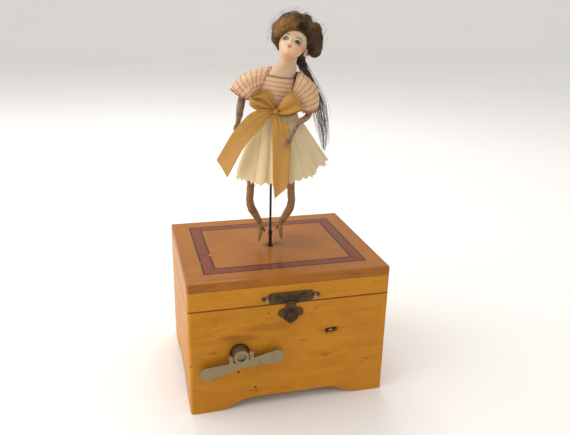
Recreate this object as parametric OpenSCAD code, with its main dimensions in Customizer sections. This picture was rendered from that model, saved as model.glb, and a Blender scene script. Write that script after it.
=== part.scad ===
// Musical automaton box: a hinged, inlaid wooden box with a clockwork
// musical movement inside, and a jointed doll that turns on an iron rod.
// Millimetres. +Z is up, the front of the box faces -Y.

/* [Box] */
// Width of the box, left to right
box_w = 150; // [140:1:165]
// Depth of the box, front to back
box_d = 124; // [118:1:140]
// Height of the case below the lid seam
case_h = 84; // [82:1:90]
// Thickness of the case and lid walls
wall_t = 8; // [6:0.5:9]
// Gap left at the lid seam
seam_gap = 0.3; // [0.2:0.1:0.6]
// Height of the lid's rim, seam to slab
rim_h = 14.7; // [12:0.1:18]
// Thickness of the lid's top slab
slab_t = 6.5; // [5:0.5:8]
// Radius of the upright corners
corner_r = 2.5; // [1:0.5:4]
// Radius along the slab's top edges
slab_edge_r = 2; // [1:0.5:3]
// Thickness of the bottom board
board_t = 6; // [4:0.5:8]
// Height of the bottom board above the table
board_z = 10; // [9.5:0.5:12]
// Rise of the scalloped arch under each wall
arch_rise = 8.3; // [4:0.1:9]
// Width of each foot beside the arch
foot_w = 18.5; // [14:0.5:24]
// Length of the arch's curved shoulder
arch_shoulder = 28; // [20:1:32]

/* [Inlay] */
// Distance from the lid's edge to the outer dark line
inlay_margin = 13.7; // [10:0.1:18]
// Width of the whole inlaid border
inlay_w = 9.8; // [8:0.1:12]
// Width of each dark line
line_w = 1.2; // [0.8:0.1:1.6]
// Depth of the inlay
inlay_t = 0.8; // [0.5:0.1:1.2]

/* [Hardware] */
// Distance of each hinge from the middle of the box
hinge_x = 46; // [35:1:52]
// Width of each hinge
hinge_w = 24; // [18:1:30]
// How far the hinge pin stands behind the box
hinge_off = 1.33; // [1.33:0.01:1.6]
// Outer radius of the hinge knuckles
knuckle_r = 1.27; // [1.1:0.01:1.27]
// Width of the clasp plate on the lid
clasp_w = 43; // [38:1:48]
// Centre of the clasp, left to right
clasp_x = -1; // [-4:0.5:4]
// Middle of the start and stop slot, left to right
slot_x = 30.7; // [28:0.1:34]
// Height of the start and stop slot
slot_z = 57.9; // [54:0.1:62]
// Length of the start and stop slot
slot_len = 10.2; // [9:0.2:12]
// Height of the opening of the start and stop slot
slot_h = 4; // [3:0.2:5]

/* [Key] */
// Winding key axis, left to right
key_x = -38.7; // [-40:0.1:-37]
// Height of the winding key axis
key_z = 48.5; // [46:0.1:52]
// Bore for the key in the front wall, radius
key_hole_r = 7; // [6.5:0.1:8]
// How far the key's boss stands out of the box
boss_reach = 8; // [7:0.5:10]
// Radius of the boss
boss_r = 5.4; // [5:0.1:5.6]
// Tilt of the folded wing
wing_tilt = 9; // [0:1:20]
// Distance of each lobe's centre from the key axis
lobe_u = 25.5; // [22:0.5:28]
// Radius of the wing's lobes
lobe_r = 5.4; // [4:0.1:6]

/* [Doll] */
// Rod axis, left to right
rod_x = -2.7; // [-4:0.1:4]
// Rod axis behind the middle of the box
rod_y = -3.7; // [-6:0.1:6]
// Radius of the doll's iron rod
rod_r = 0.9; // [0.8:0.05:1.2]
// How far the doll is turned about its rod
doll_yaw = -15; // [-30:1:30]
// Height of the waist above the lid
waist_v = 107; // [104:1:110]
// Height of the hip pins above the lid
hip_v = 90; // [86:1:92]
// Height of the knee pins above the lid
knee_v = 36; // [34:1:38]

/* [Movement] */
// Teeth on the great wheel of the spring barrel
great_teeth = 48; // [48:12:48]
// Teeth on the cylinder's wheel
cylinder_teeth = 24; // [24:12:24]
// Radius of the music cylinder
cylinder_r = 9; // [8:0.5:9.5]
// Radius of the spring barrel
barrel_r = 17; // [14:0.5:19]

/* [Hidden] */
$fn = 48;

rim_z = case_h + seam_gap;
slab_z = rim_z + rim_h;
lid_top = slab_z + slab_t;
half_w = box_w / 2;
half_d = box_d / 2;
// The box is set back so that the whole object's bounding box is centred.
shift_y = (boss_reach - hinge_off - knuckle_r) / 2;
front_y = shift_y - half_d;
back_y = shift_y + half_d;
hinge_y = back_y + hinge_off;
rod_cy = shift_y + rod_y;
gear_module = 1;
great_r = great_teeth * gear_module / 2;
cylinder_wheel_r = cylinder_teeth * gear_module / 2;
gear_t = 2.5;
crown_r = cylinder_wheel_r;
gear_y = rod_cy - crown_r;
cylinder_x = key_x + great_r + cylinder_wheel_r;
plate_t = 2;
front_plate_y = front_y + 15.5;
back_plate_y = shift_y + 30;
bed_z = board_z + board_t;
bed_t = 3;
plate_top = 66.5;
bridge_t = 2;
shaft_gap = 0.05;
arbor_r = 2.5;
cylinder_arbor_r = 1.5;
lever_z = slot_z - 0.7;
lever_pivot_y = shift_y - 22;
brake_x = cylinder_x + 14;
pin_r = 0.6;

module place_box() {
  translate([0, shift_y, 0]) children();
}

module place_doll() {
  translate([rod_x, rod_cy, lid_top]) rotate([0, 0, doll_yaw]) children();
}

// A cylinder along Y from y0 to y1.
module y_cylinder(r, y0, y1) {
  translate([0, y1, 0]) rotate([90, 0, 0]) cylinder(r = r, h = y1 - y0);
}

// A cylinder along X from x0 to x1.
module x_cylinder(r, x0, x1) {
  translate([x0, 0, 0]) rotate([0, 90, 0]) cylinder(r = r, h = x1 - x0);
}

// A plate standing across Y, drawn in X and Z.
module upright(y0, t) {
  translate([0, y0 + t, 0]) rotate([90, 0, 0]) linear_extrude(t) children();
}

// ---------- wooden case ----------

module corner_posts(z0, h) {
  inner_w = box_w - 2 * corner_r;
  inner_d = box_d - 2 * corner_r;
  translate([-half_w, -half_d + corner_r, z0]) cube([box_w, inner_d, h]);
  translate([-half_w + corner_r, -half_d, z0]) cube([inner_w, box_d, h]);
  for (x = [-1, 1], y = [-1, 1])
    translate([x * inner_w / 2, y * inner_d / 2, z0]) cylinder(r = corner_r, h = h);
}

// One mitred wall on the -Y side of a box of size l by w.
module mitred_wall(l, w, z0, h) {
  translate([0, 0, z0]) linear_extrude(h)
    polygon([[-l / 2, -w / 2], [l / 2, -w / 2],
             [l / 2 - wall_t, -w / 2 + wall_t], [-l / 2 + wall_t, -w / 2 + wall_t]]);
}

// Outline of the arch under a wall of length l: two ogee shoulders and a flat crown.
function ogee(s) = arch_rise * (1 - cos(180 * s)) / 2;
function arch_points(l) =
  let (x0 = l / 2 - foot_w, n = 10)
  concat(
    [[-x0, -1]],
    [for (i = [0 : n]) [-x0 + arch_shoulder * i / n, ogee(i / n)]],
    [for (i = [n : -1 : 0]) [x0 - arch_shoulder * i / n, ogee(i / n)]],
    [[x0, -1]]);

module arch_cut(l, w) {
  upright(-w / 2 - 1, wall_t + 2) polygon(arch_points(l));
}

module case_wall(l, w) {
  difference() {
    mitred_wall(l, w, 0, case_h);
    arch_cut(l, w);
  }
}

module slot_outline(len, h) {
  square([len - h, h], center = true);
  for (side = [-1, 1]) translate([side * (len - h) / 2, 0]) circle(r = h / 2);
}

module nail_hole(x, z, r, depth) {
  translate([x, 0, z]) y_cylinder(r, -half_d - 1, -half_d + depth);
}

module front_panel() {
  color("goldenrod") place_box() difference() {
    intersection() {
      case_wall(box_w, box_d);
      corner_posts(0, case_h);
    }
    translate([key_x, 0, key_z]) y_cylinder(key_hole_r, -half_d - 1, -half_d + wall_t + 1);
    translate([slot_x, 0, slot_z]) rotate([0, -5, 0])
      upright(-half_d - 1, wall_t + 2) slot_outline(slot_len, slot_h);
    nail_hole(clasp_x, 77.5, 1.9, 4);
    nail_hole(-17.4, 77.4, 0.6, 3);
    nail_hole(17.8, 77.9, 0.6, 3);
    nail_hole(-39.6, 31.5, 0.9, 3);
    nail_hole(-26.7, 16.7, 1, 3);
    nail_hole(-74.2, 41, 0.9, 3);
  }
}

module back_panel() {
  color("goldenrod") place_box() rotate([0, 0, 180]) intersection() {
    case_wall(box_w, box_d);
    corner_posts(0, case_h);
  }
}

module left_panel() {
  color("goldenrod") place_box() intersection() {
    rotate([0, 0, -90]) case_wall(box_d, box_w);
    corner_posts(0, case_h);
  }
}

module right_panel() {
  color("goldenrod") place_box() intersection() {
    rotate([0, 0, 90]) case_wall(box_d, box_w);
    corner_posts(0, case_h);
  }
}

module bottom_board() {
  color("burlywood") place_box()
    translate([-half_w + wall_t, -half_d + wall_t, board_z])
      cube([box_w - 2 * wall_t, box_d - 2 * wall_t, board_t]);
}

// Screws up through the board that hold the bedplate, and those of the hinges.
module case_screws() {
  color("dimgray") {
    place_box() for (x = [-58, 30], y = [-44, 36])
      translate([x, y, board_z - 1.5]) cylinder(r = 3, h = 1.5);
    at_hinges() for (x = [-8, 8])
      translate([x, -hinge_off + 0.8, -7]) y_cylinder(1.6, 0, 0.6);
  }
}

// ---------- hinges ----------

module at_hinges() {
  for (side = [-1, 1]) translate([side * hinge_x, hinge_y, case_h]) children();
}

// Knuckles take the middle third for the lid and the outer thirds for the case.
module knuckle(x0, x1) {
  x_cylinder(knuckle_r, x0, x1);
}

module lower_hinge_leaves() {
  third = hinge_w / 6;
  color("darkkhaki") at_hinges() difference() {
    union() {
      translate([-hinge_w / 2, -hinge_off, -12]) cube([hinge_w, 0.8, 12]);
      knuckle(-hinge_w / 2, -third - 0.1);
      knuckle(third + 0.1, hinge_w / 2);
    }
    translate([-third - 0.1, -hinge_off - 1, -knuckle_r - 0.2])
      cube([2 * third + 0.2, 4, 3]);
    x_cylinder(pin_r, -hinge_w, hinge_w);
  }
}

module upper_hinge_leaves() {
  third = hinge_w / 6;
  color("darkkhaki") at_hinges() difference() {
    union() {
      translate([-hinge_w / 2, -hinge_off, knuckle_r + 0.3]) cube([hinge_w, 0.8, 10.5]);
      translate([-third + 0.1, -hinge_off, 0.4]) cube([2 * third - 0.2, 0.8, 3]);
      knuckle(-third + 0.1, third - 0.1);
    }
    x_cylinder(pin_r + shaft_gap, -hinge_w, hinge_w);
  }
}

module hinge_pins() {
  color("gray") at_hinges() x_cylinder(pin_r, -hinge_w / 2 - 0.4, hinge_w / 2 + 0.4);
}

// ---------- lid ----------

// Bar of length l with the two upper long edges rounded, lying along Y.
module rounded_bar(w, l) {
  translate([0, l / 2, 0]) rotate([90, 0, 0]) linear_extrude(l) {
    translate([-w / 2, 0]) square([w, slab_t - slab_edge_r]);
    translate([-w / 2 + slab_edge_r, 0]) square([w - 2 * slab_edge_r, slab_t]);
    for (side = [-1, 1])
      translate([side * (w / 2 - slab_edge_r), slab_t - slab_edge_r]) circle(r = slab_edge_r);
  }
}

// Rectangular frame with its outer edge set in from the slab's edge.
module border(margin, w, t) {
  ow = box_w - 2 * margin;
  od = box_d - 2 * margin;
  linear_extrude(t) difference() {
    square([ow, od], center = true);
    square([ow - 2 * w, od - 2 * w], center = true);
  }
}

module lid_slab() {
  color("goldenrod") difference() {
    place_box() intersection() {
      translate([0, 0, slab_z]) rounded_bar(box_w, box_d);
      translate([0, 0, slab_z]) rotate([0, 0, 90]) rounded_bar(box_d, box_w);
      corner_posts(slab_z, slab_t);
    }
    place_box() translate([0, 0, lid_top - inlay_t]) border(inlay_margin, inlay_w, inlay_t + 1);
    translate([rod_x, rod_cy, slab_z - 1]) cylinder(r = 2, h = slab_t + 2);
  }
}

module lid_rail(l, w) {
  intersection() {
    mitred_wall(l, w, rim_z, rim_h);
    children();
  }
}

module lid_front_rail() {
  color("goldenrod") place_box()
    lid_rail(box_w, box_d) corner_posts(rim_z, rim_h);
}

module lid_back_rail() {
  color("goldenrod") place_box() rotate([0, 0, 180])
    lid_rail(box_w, box_d) corner_posts(rim_z, rim_h);
}

module lid_left_rail() {
  color("goldenrod") place_box() intersection() {
    rotate([0, 0, -90]) mitred_wall(box_d, box_w, rim_z, rim_h);
    corner_posts(rim_z, rim_h);
  }
}

module lid_right_rail() {
  color("goldenrod") place_box() intersection() {
    rotate([0, 0, 90]) mitred_wall(box_d, box_w, rim_z, rim_h);
    corner_posts(rim_z, rim_h);
  }
}

module inlay_band() {
  color("saddlebrown") place_box() translate([0, 0, lid_top - inlay_t])
    border(inlay_margin + line_w, inlay_w - 2 * line_w, inlay_t);
}

module inlay_lines() {
  color("black") place_box() translate([0, 0, lid_top - inlay_t]) {
    border(inlay_margin, line_w, inlay_t);
    border(inlay_margin + inlay_w - line_w, line_w, inlay_t);
  }
}

bush_r = 2;
bush_bore = 1.3;
module rod_bush() {
  color("dimgray") translate([rod_x, rod_cy, slab_z - 1]) difference() {
    union() {
      cylinder(r = bush_r, h = slab_t + 1);
      translate([0, 0, slab_t + 1]) cylinder(r = 2.3, h = 1);
      cylinder(r = 5, h = 1);
    }
    translate([0, 0, -1]) cylinder(r = bush_bore, h = slab_t + 6);
  }
}

// ---------- clasp ----------

clasp_t = 1;
clasp_z = 88.9;
drop_axis_z = rim_z + 0.9;
drop_axis_y = front_y - 1.2;

// Central tablet with a fleur-de-lis point at each end.
module clasp_outline() {
  square([27, 8], center = true);
  for (side = [-1, 1]) {
    translate([side * (clasp_w / 2 - 1.6), 0]) circle(r = 1.6);
    translate([side * (clasp_w / 2 - 5.5), 0]) square([7, 2.2], center = true);
    for (up = [-1, 1]) translate([side * 14.6, up * 1.7]) circle(r = 2.1);
  }
}

module clasp_plate() {
  color("sienna") difference() {
    union() {
      translate([clasp_x, front_y - clasp_t, clasp_z]) upright(0, clasp_t) clasp_outline();
      for (side = [-1, 1]) translate([clasp_x + side * 5.2, drop_axis_y, drop_axis_z])
        x_cylinder(1.1, -1.4, 1.4);
    }
    translate([clasp_x, drop_axis_y, drop_axis_z]) x_cylinder(0.5 + shaft_gap, -10, 10);
    translate([clasp_x - 3.7, front_y - 4, rim_z - 3]) cube([7.4, 8, 5.2]);
  }
}

module clasp_pins() {
  color("silver") for (side = [-1, 1])
    translate([clasp_x + side * 17.8, front_y - clasp_t, clasp_z]) {
      y_cylinder(1.3, -0.8, 0);
    }
}

// Rosette with three lobes, a keyhole and a neck to the hinge.
module clasp_drop() {
  color("sienna") translate([clasp_x, front_y, 0]) difference() {
    union() {
      upright(-1.4, clasp_t) difference() {
        union() {
          translate([0, 76.8]) circle(r = 5.8);
          for (side = [-1, 1]) translate([side * 6.2, 76.6]) circle(r = 3.1);
          translate([0, 70.9]) circle(r = 3);
          for (side = [-1, 1]) translate([side * 3.4, 72.6]) circle(r = 2.1);
          translate([-3.4, 79]) square([6.8, drop_axis_z - 79]);
        }
        translate([0, 77.4]) rotate(-35) slot_outline(4.6, 2.4);
      }
      translate([0, drop_axis_y - front_y, drop_axis_z]) x_cylinder(1.1, -3.4, 3.4);
      translate([0, drop_axis_y - front_y, drop_axis_z]) x_cylinder(0.5, -6.6, 6.6);
    }
    translate([-5, -0.35, rim_z - 1]) cube([10, 3, 4]);
  }
}

// ---------- winding key ----------

// Shaft, barrel hook and the spool-shaped boss at its outer end.
module winding_arbor() {
  boss_y = front_y - boss_reach;
  color("darkkhaki") translate([key_x, 0, key_z]) difference() {
    union() {
      y_cylinder(arbor_r, front_y - 1, gear_y - gear_t / 2 + 6);
      y_cylinder(boss_r + 0.5, front_y - 0.4, front_y + 3);
      y_cylinder(boss_r - 0.7, boss_y + 1, front_y + 3);
      y_cylinder(boss_r, boss_y, boss_y + 6.4);
    }
    y_cylinder(3.4, boss_y - 1, boss_y + 1.2);
    rotate([0, -wing_tilt, 0]) translate([0, front_y - wing_off, 0])
      x_cylinder(pin_r, -20, 20);
  }
}

wing_off = 5.2;
wing_t = 1.7;
ear_u = 7.4;

module place_wing() {
  translate([key_x, front_y - wing_off, key_z]) rotate([0, -wing_tilt, 0]) children();
}

module key_pin() {
  color("gray") place_wing() x_cylinder(pin_r, -ear_u - 1.6, ear_u + 1.6);
}

// Half outline of the wing's blade from the middle to a lobe: u across, v up.
function blade_low(u) = -10.2 - 2.6 * (1 - cos(180 * min(u / lobe_u, 1))) / 2;
function blade_top(u) = -4.4 + 1.6 * (1 - cos(180 * min(u / lobe_u, 1))) / 2;
module blade_half() {
  n = 8;
  polygon(concat(
    [for (i = [0 : n]) [lobe_u * i / n, blade_low(lobe_u * i / n)]],
    [for (i = [n : -1 : 0]) [lobe_u * i / n, blade_top(lobe_u * i / n)]]));
  translate([lobe_u, -7.9]) circle(r = lobe_r);
  translate([ear_u - 1.2, -7]) square([2.9, 7]);
}

module key_wing() {
  color("darkkhaki") place_wing() difference() {
    union() {
      difference() {
        upright(-wing_t / 2, wing_t) {
          blade_half();
          mirror([1, 0]) blade_half();
        }
        y_cylinder(6.35, -5, 5);
      }
      for (side = [-1, 1]) translate([side * (ear_u + 0.25), 0, 0])
        x_cylinder(1.9, -1.45, 1.45);
    }
    x_cylinder(pin_r + shaft_gap, -20, 20);
  }
}

// ---------- musical movement ----------

// Spur wheel in X and Z with a tooth at the angle "first".
module spur(teeth, r, first) {
  pitch = 360 / teeth;
  polygon([for (i = [0 : teeth - 1], k = [0 : 3])
    let (a = first + pitch * (i + [-0.30, -0.12, 0.12, 0.30][k]),
         rr = r + [-1.15, 0.85, 0.85, -1.15][k] * gear_module)
    [rr * cos(a), rr * sin(a)]]);
}

module ratchet_outline(teeth, r) {
  pitch = 360 / teeth;
  polygon([for (i = [0 : teeth - 1], k = [0 : 1])
    let (a = pitch * (i + 0.9 * k), rr = r - 1.4 * k)
    [rr * cos(a), rr * sin(a)]]);
}

ratchet_y = front_plate_y + plate_t + 0.6;
ratchet_r = 9;
module ratchet_wheel() {
  color("silver") translate([key_x, 0, key_z]) difference() {
    upright(ratchet_y, 1.6) ratchet_outline(16, ratchet_r);
    y_cylinder(arbor_r, ratchet_y - 1, ratchet_y + 3);
  }
}

click_x = key_x + 14;
click_z = key_z - 8;
click_lifted = 6;
module click() {
  color("silver") translate([click_x, 0, click_z]) rotate([0, click_lifted, 0]) {
    difference() {
      union() {
        y_cylinder(2, ratchet_y, ratchet_y + 1.6);
        upright(ratchet_y, 1.6) polygon([[-1.6, 1.6], [1.8, 0.6], [-4.3, 7.9], [-5.7, 7.5]]);
      }
      y_cylinder(0.8 + shaft_gap, ratchet_y - 1, ratchet_y + 3);
    }
  }
}

module bedplate() {
  color("khaki") place_box() translate([-64, -50, bed_z]) difference() {
    cube([100, 92, bed_t]);
    for (x = [6, 94], y = [6, 86]) translate([x, y, -1]) cylinder(r = 1.6, h = bed_t + 2);
  }
}

// Front plate of the movement with its bearings and the click's stud.
module front_plate() {
  color("khaki") difference() {
    union() {
      upright(front_plate_y, plate_t) {
        translate([-62, bed_z + bed_t]) square([72, 44]);
        translate([cylinder_x - 8, bed_z + bed_t]) square([16, plate_top - bed_z - bed_t]);
      }
      translate([click_x, 0, click_z]) y_cylinder(0.8, front_plate_y + plate_t, ratchet_y + 1.6);
    }
    translate([key_x, 0, key_z]) y_cylinder(arbor_r + shaft_gap, front_plate_y - 1, front_plate_y + 3);
    translate([cylinder_x, 0, key_z])
      y_cylinder(cylinder_arbor_r + shaft_gap, front_plate_y - 1, front_plate_y + 3);
  }
}

module back_plate() {
  color("khaki") difference() {
    upright(back_plate_y, plate_t) {
      translate([cylinder_x - 14, bed_z + bed_t]) square([38, 42]);
      translate([cylinder_x - 8, bed_z + bed_t]) square([16, plate_top - bed_z - bed_t]);
    }
    translate([cylinder_x, 0, key_z])
      y_cylinder(cylinder_arbor_r + shaft_gap, back_plate_y - 1, back_plate_y + 3);
    translate([brake_x, 0, key_z]) y_cylinder(0.8 + shaft_gap, back_plate_y - 1, back_plate_y + 3);
  }
}

spindle_r = 2;
module spindle_bridge() {
  color("khaki") difference() {
    translate([cylinder_x - 8, front_plate_y, plate_top])
      cube([16, back_plate_y + plate_t - front_plate_y, bridge_t]);
    translate([rod_x, rod_cy, plate_top - 1]) cylinder(r = spindle_r + shaft_gap, h = 4);
  }
}

module movement_screws() {
  color("silver") {
    for (y = [front_plate_y + 1, back_plate_y + 1], x = [-5.5, 5.5])
      translate([cylinder_x + x, y, plate_top + bridge_t]) cylinder(r = 1.4, h = 1);
    for (y = [-5, 8, 21]) translate([21, shift_y + y, key_z + 0.5]) cylinder(r = 2, h = 1.4);
  }
}

barrel_y0 = ratchet_y + 2.4;
barrel_y1 = gear_y - gear_t / 2;
barrel_wall = 1;
module spring_barrel() {
  color("khaki") translate([key_x, 0, key_z]) difference() {
    union() {
      difference() {
        y_cylinder(barrel_r, barrel_y0, barrel_y1);
        y_cylinder(barrel_r - barrel_wall, barrel_y0 + barrel_wall, barrel_y1 - barrel_wall);
      }
      upright(gear_y - gear_t / 2, gear_t) spur(great_teeth, great_r, 3.75);
    }
    y_cylinder(arbor_r + shaft_gap, barrel_y0 - 1, gear_y + 5);
  }
}

// Flat spiral of spring steel from the arbor to the barrel's wall.
function spiral_r(a) = arbor_r + 0.4 + (barrel_r - barrel_wall - arbor_r - 1.3) * a / 2160;
module mainspring() {
  leaf = 0.45;
  step = 20;
  color("steelblue") translate([key_x, 0, key_z])
    upright(barrel_y0 + barrel_wall + 0.5, barrel_y1 - barrel_y0 - 2 * barrel_wall - 1)
      polygon(concat(
        [for (a = [0 : step : 2160]) spiral_r(a) * [cos(a), sin(a)]],
        [for (a = [2160 : -step : 0]) (spiral_r(a) + leaf) * [cos(a), sin(a)]]));
}

cylinder_y0 = gear_y + gear_t / 2 + 3;
cylinder_y1 = back_plate_y - 5;
comb_teeth = 18;
comb_pitch = (cylinder_y1 - cylinder_y0 - 2) / comb_teeth;
module music_cylinder() {
  color("gold") translate([cylinder_x, 0, key_z]) {
    y_cylinder(cylinder_arbor_r, front_plate_y, back_plate_y + plate_t);
    y_cylinder(cylinder_r, cylinder_y0, cylinder_y1);
    upright(gear_y - gear_t / 2, gear_t) spur(cylinder_teeth, cylinder_wheel_r, 0);
    upright(cylinder_y1 + 1.5, 2) spur_fine(48, 12);
    for (i = [0 : comb_teeth - 1], k = [0 : 3])
      rotate([0, 25 + 90 * k + 47 * i % 65, 0])
        translate([cylinder_r - 0.2, cylinder_y0 + 1 + comb_pitch * (i + 0.5), 0])
          rotate([0, 90, 0]) cylinder(r = 0.25, h = 0.9, $fn = 4);
  }
}

// Fine wheel of half-millimetre module for the air brake's train.
module spur_fine(teeth, r) {
  pitch = 360 / teeth;
  polygon([for (i = [0 : teeth - 1], k = [0 : 3])
    let (a = pitch * (i + 0.5 + [-0.28, -0.1, 0.1, 0.28][k]),
         rr = r + [-0.6, 0.4, 0.4, -0.6][k])
    [rr * cos(a), rr * sin(a)]]);
}

// Two-bladed fan that slows the train, with the pinion that drives it.
module air_brake() {
  y0 = cylinder_y1 + 1.5;
  fan_y = back_plate_y + 6;
  color("silver") translate([brake_x, 0, key_z]) {
    y_cylinder(0.8, y0 - 1, fan_y + 14);
    upright(y0, 2) polygon([for (i = [0 : 7], k = [0 : 3])
      let (a = 45 * (i + [-0.2, -0.08, 0.08, 0.2][k]), rr = 2 + [-0.6, 0.4, 0.4, -0.6][k])
      [rr * cos(a), rr * sin(a)]]);
    translate([-9, fan_y, -0.4]) cube([18, 12, 0.8]);
  }
}

comb_tip_x = cylinder_x + cylinder_r + 1.1;
module comb() {
  color("lightgray") difference() {
    translate([comb_tip_x, cylinder_y0 + 0.5, key_z - 0.5])
      cube([26 - comb_tip_x, comb_pitch * comb_teeth + 1, 1]);
    for (i = [0 : comb_teeth])
      translate([comb_tip_x - 1, cylinder_y0 + 0.8 + comb_pitch * i, key_z - 1])
        cube([8, 0.4, 2]);
  }
}

module comb_base() {
  color("khaki") translate([16, cylinder_y0 + 0.5, bed_z + bed_t])
    cube([10, comb_pitch * comb_teeth + 1, key_z - 0.5 - bed_z - bed_t]);
}

// Upright spindle: crown wheel below the bridge, slotted cup above it.
cup_z = plate_top + bridge_t + 0.4;
module drive_spindle() {
  crown_z = key_z + crown_r + 1.4;
  color("khaki") translate([rod_x, rod_cy, 0]) difference() {
    union() {
      translate([0, 0, crown_z]) cylinder(r = crown_r + 1.4, h = 1.5);
      for (i = [0 : cylinder_teeth - 1]) rotate([0, 0, 360 / cylinder_teeth * (i + 0.5)])
        translate([crown_r, 0, crown_z - 1.9]) cylinder(r = 0.5, h = 2.2);
      translate([0, 0, crown_z]) cylinder(r = spindle_r, h = cup_z - crown_z + 1);
      translate([0, 0, cup_z]) cylinder(r = 4, h = 9);
    }
    translate([0, 0, cup_z + 3]) cylinder(r = 2.3, h = 9);
    translate([-0.8, -5, cup_z + 4]) cube([1.6, 10, 9]);
  }
}

lever_x = slot_x;
module stop_lever() {
  color("silver") difference() {
    union() {
      translate([lever_x - 1.5, front_y + 1.5, lever_z - 0.6])
        cube([3, lever_pivot_y - front_y - 1.5, 1.2]);
      translate([lever_x - 1, lever_pivot_y, lever_z - 0.6])
        cube([2, back_plate_y + 12 - lever_pivot_y, 1.2]);
      translate([brake_x + 12, back_plate_y + 10, lever_z - 0.6])
        cube([lever_x - brake_x - 12, 2, 1.2]);
      translate([lever_x, lever_pivot_y, lever_z - 0.6]) cylinder(r = 4, h = 1.2);
    }
    translate([lever_x, lever_pivot_y, lever_z - 2]) cylinder(r = 1.5 + shaft_gap, h = 4);
  }
}

module lever_post() {
  base = bed_z + bed_t;
  color("khaki") translate([lever_x, lever_pivot_y, base]) {
    cylinder(r = 4, h = lever_z - 0.7 - base);
    cylinder(r = 1.5, h = lever_z + 1.4 - base);
  }
}

// ---------- doll ----------

limb_fn = 16;

// A rounded link between two points with its own radius at each end.
module link(a, ra, b, rb) {
  hull() {
    translate(a) sphere(r = ra, $fn = limb_fn);
    translate(b) sphere(r = rb, $fn = limb_fn);
  }
}

// An elliptical slice for the soft solids.
module slice(x, y, z, rx, ry) {
  translate([x, y, z]) scale([rx, ry, 1]) cylinder(r = 1, h = 0.6, $fn = 32);
}

module doll_rod() {
  color("black") translate([rod_x, rod_cy, 0]) difference() {
    union() {
      translate([0, 0, cup_z + 3.6]) cylinder(r = bush_bore - shaft_gap, h = lid_top + 10 - cup_z - 3.6);
      translate([0, 0, lid_top + 10]) cylinder(r = rod_r, h = 88);
    }
    translate([0, 0, cup_z + 5.6]) rotate([90, 0, 0]) translate([0, 0, -5]) cylinder(r = pin_r, h = 10);
  }
}

module drive_pin() {
  color("gray") translate([rod_x, rod_cy, cup_z + 5.6]) y_cylinder(pin_r, -3.6, 3.6);
}

module rod_collar() {
  color("black") translate([rod_x, rod_cy, lid_top + 10]) difference() {
    cylinder(r = 1.65, h = 2.6);
    translate([0, 0, -1]) cylinder(r = rod_r, h = 5);
  }
}

hip_x = 9.8;
shoulder_v = 128;
left_shoulder_x = -18;
right_shoulder_x = 22.5;

// Body core with hip block, waist, chest and neck stump.
module doll_torso() {
  color("bisque") place_doll() difference() {
    union() {
      hull() {
        slice(0, 0, hip_v - 5, 5.6, 5);
        slice(0.6, 0, hip_v + 4, 5.9, 5.4);
      }
      hull() {
        slice(0.6, 0, hip_v + 4, 5.9, 5.4);
        slice(3.6, 0, waist_v, 9.5, 7.5);
      }
      hull() {
        slice(3.6, 0, waist_v, 9.5, 7.5);
        slice(3.5, -0.5, 122, 12.4, 9);
        slice(3.5, 0, 132, 12, 7.5);
      }
      hull() {
        slice(3.5, 0, 132, 12, 7.5);
        slice(7.5, 0, 137.4, 6, 5);
      }
    }
    translate([0, 0, hip_v]) x_cylinder(0.6, -20, 20);
    translate([0, 0, shoulder_v]) x_cylinder(0.6, -30, 30);
    cylinder(r = rod_r, h = 98);
  }
}

module hip_wire() {
  color("gray") place_doll() difference() {
    translate([0, 0, hip_v]) x_cylinder(0.6, -hip_x - 3.2, hip_x + 3.2);
    cylinder(r = rod_r, h = 98);
  }
}

module shoulder_wire() {
  color("gray") place_doll() translate([0, 0, shoulder_v])
    x_cylinder(0.6, left_shoulder_x - 2.6, right_shoulder_x + 2.6);
}

module doll_head() {
  color("bisque") place_doll() {
    hull() {
      slice(8, 0, 138.1, 5.6, 5);
      slice(11, 0, 146, 5, 5);
    }
    translate([14.5, -0.5, 154.5]) rotate([-15, 17, -10]) hull() {
      translate([0, 1, 3]) sphere(r = 11, $fn = 28);
      translate([0, -3, -6]) sphere(r = 6.5, $fn = 20);
    }
  }
}

// Swept-up wig: a cap, a front roll and a bunch of curls on the right.
module wig() {
  color("saddlebrown") place_doll() difference() {
    union() {
      translate([17, 2.5, 161]) sphere(r = 13.5);
      translate([8.5, 0, 162.5]) sphere(r = 8.5);
      translate([27, 3, 157]) sphere(r = 8.5);
      translate([28, 2, 151]) sphere(r = 5.5);
    }
    translate([14.5, -0.5, 154.5]) rotate([-15, 17, -10]) hull() {
      translate([0, 1, 3]) sphere(r = 11.1, $fn = 28);
      translate([0, -3, -6]) sphere(r = 6.6, $fn = 20);
      translate([0, -20, 0]) sphere(r = 9, $fn = 20);
    }
  }
}

module hair_lock() {
  color("dimgray") place_doll() {
    link([22.5, 8, 149.5], 1.2, [31, 12.5, 127], 1.8);
    link([31, 12.5, 127], 1.8, [37, 13, 103], 2.2);
    link([37, 13, 103], 2.2, [39.5, 12, 84], 1.6);
    link([39.5, 12, 84], 1.6, [41, 11, 75], 0.6);
  }
}

hem = [8, 62, 35.5, 34.5];
hem_tilt = 7;
module skirt_solid(grow) {
  hull() {
    slice(4.2, 0, waist_v - 2.5, 13 + grow, 10.5 + grow);
    slice(4.6, 0, waist_v - 7.5, 18.5 + grow, 15.5 + grow);
    translate([hem[0], 0, hem[1]]) rotate([0, -hem_tilt, 0])
      scale([hem[2] + grow, hem[3] + grow, 1]) cylinder(r = 1, h = 0.6, $fn = 32);
  }
}

module skirt() {
  color("cornsilk") place_doll() difference() {
    skirt_solid(0);
    translate([0, 0, -2.2]) skirt_solid(-1.1);
    translate([3.6, 0, waist_v - 8]) scale([9.8, 7.8, 1]) cylinder(r = 1, h = 12, $fn = 32);
  }
}

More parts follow.
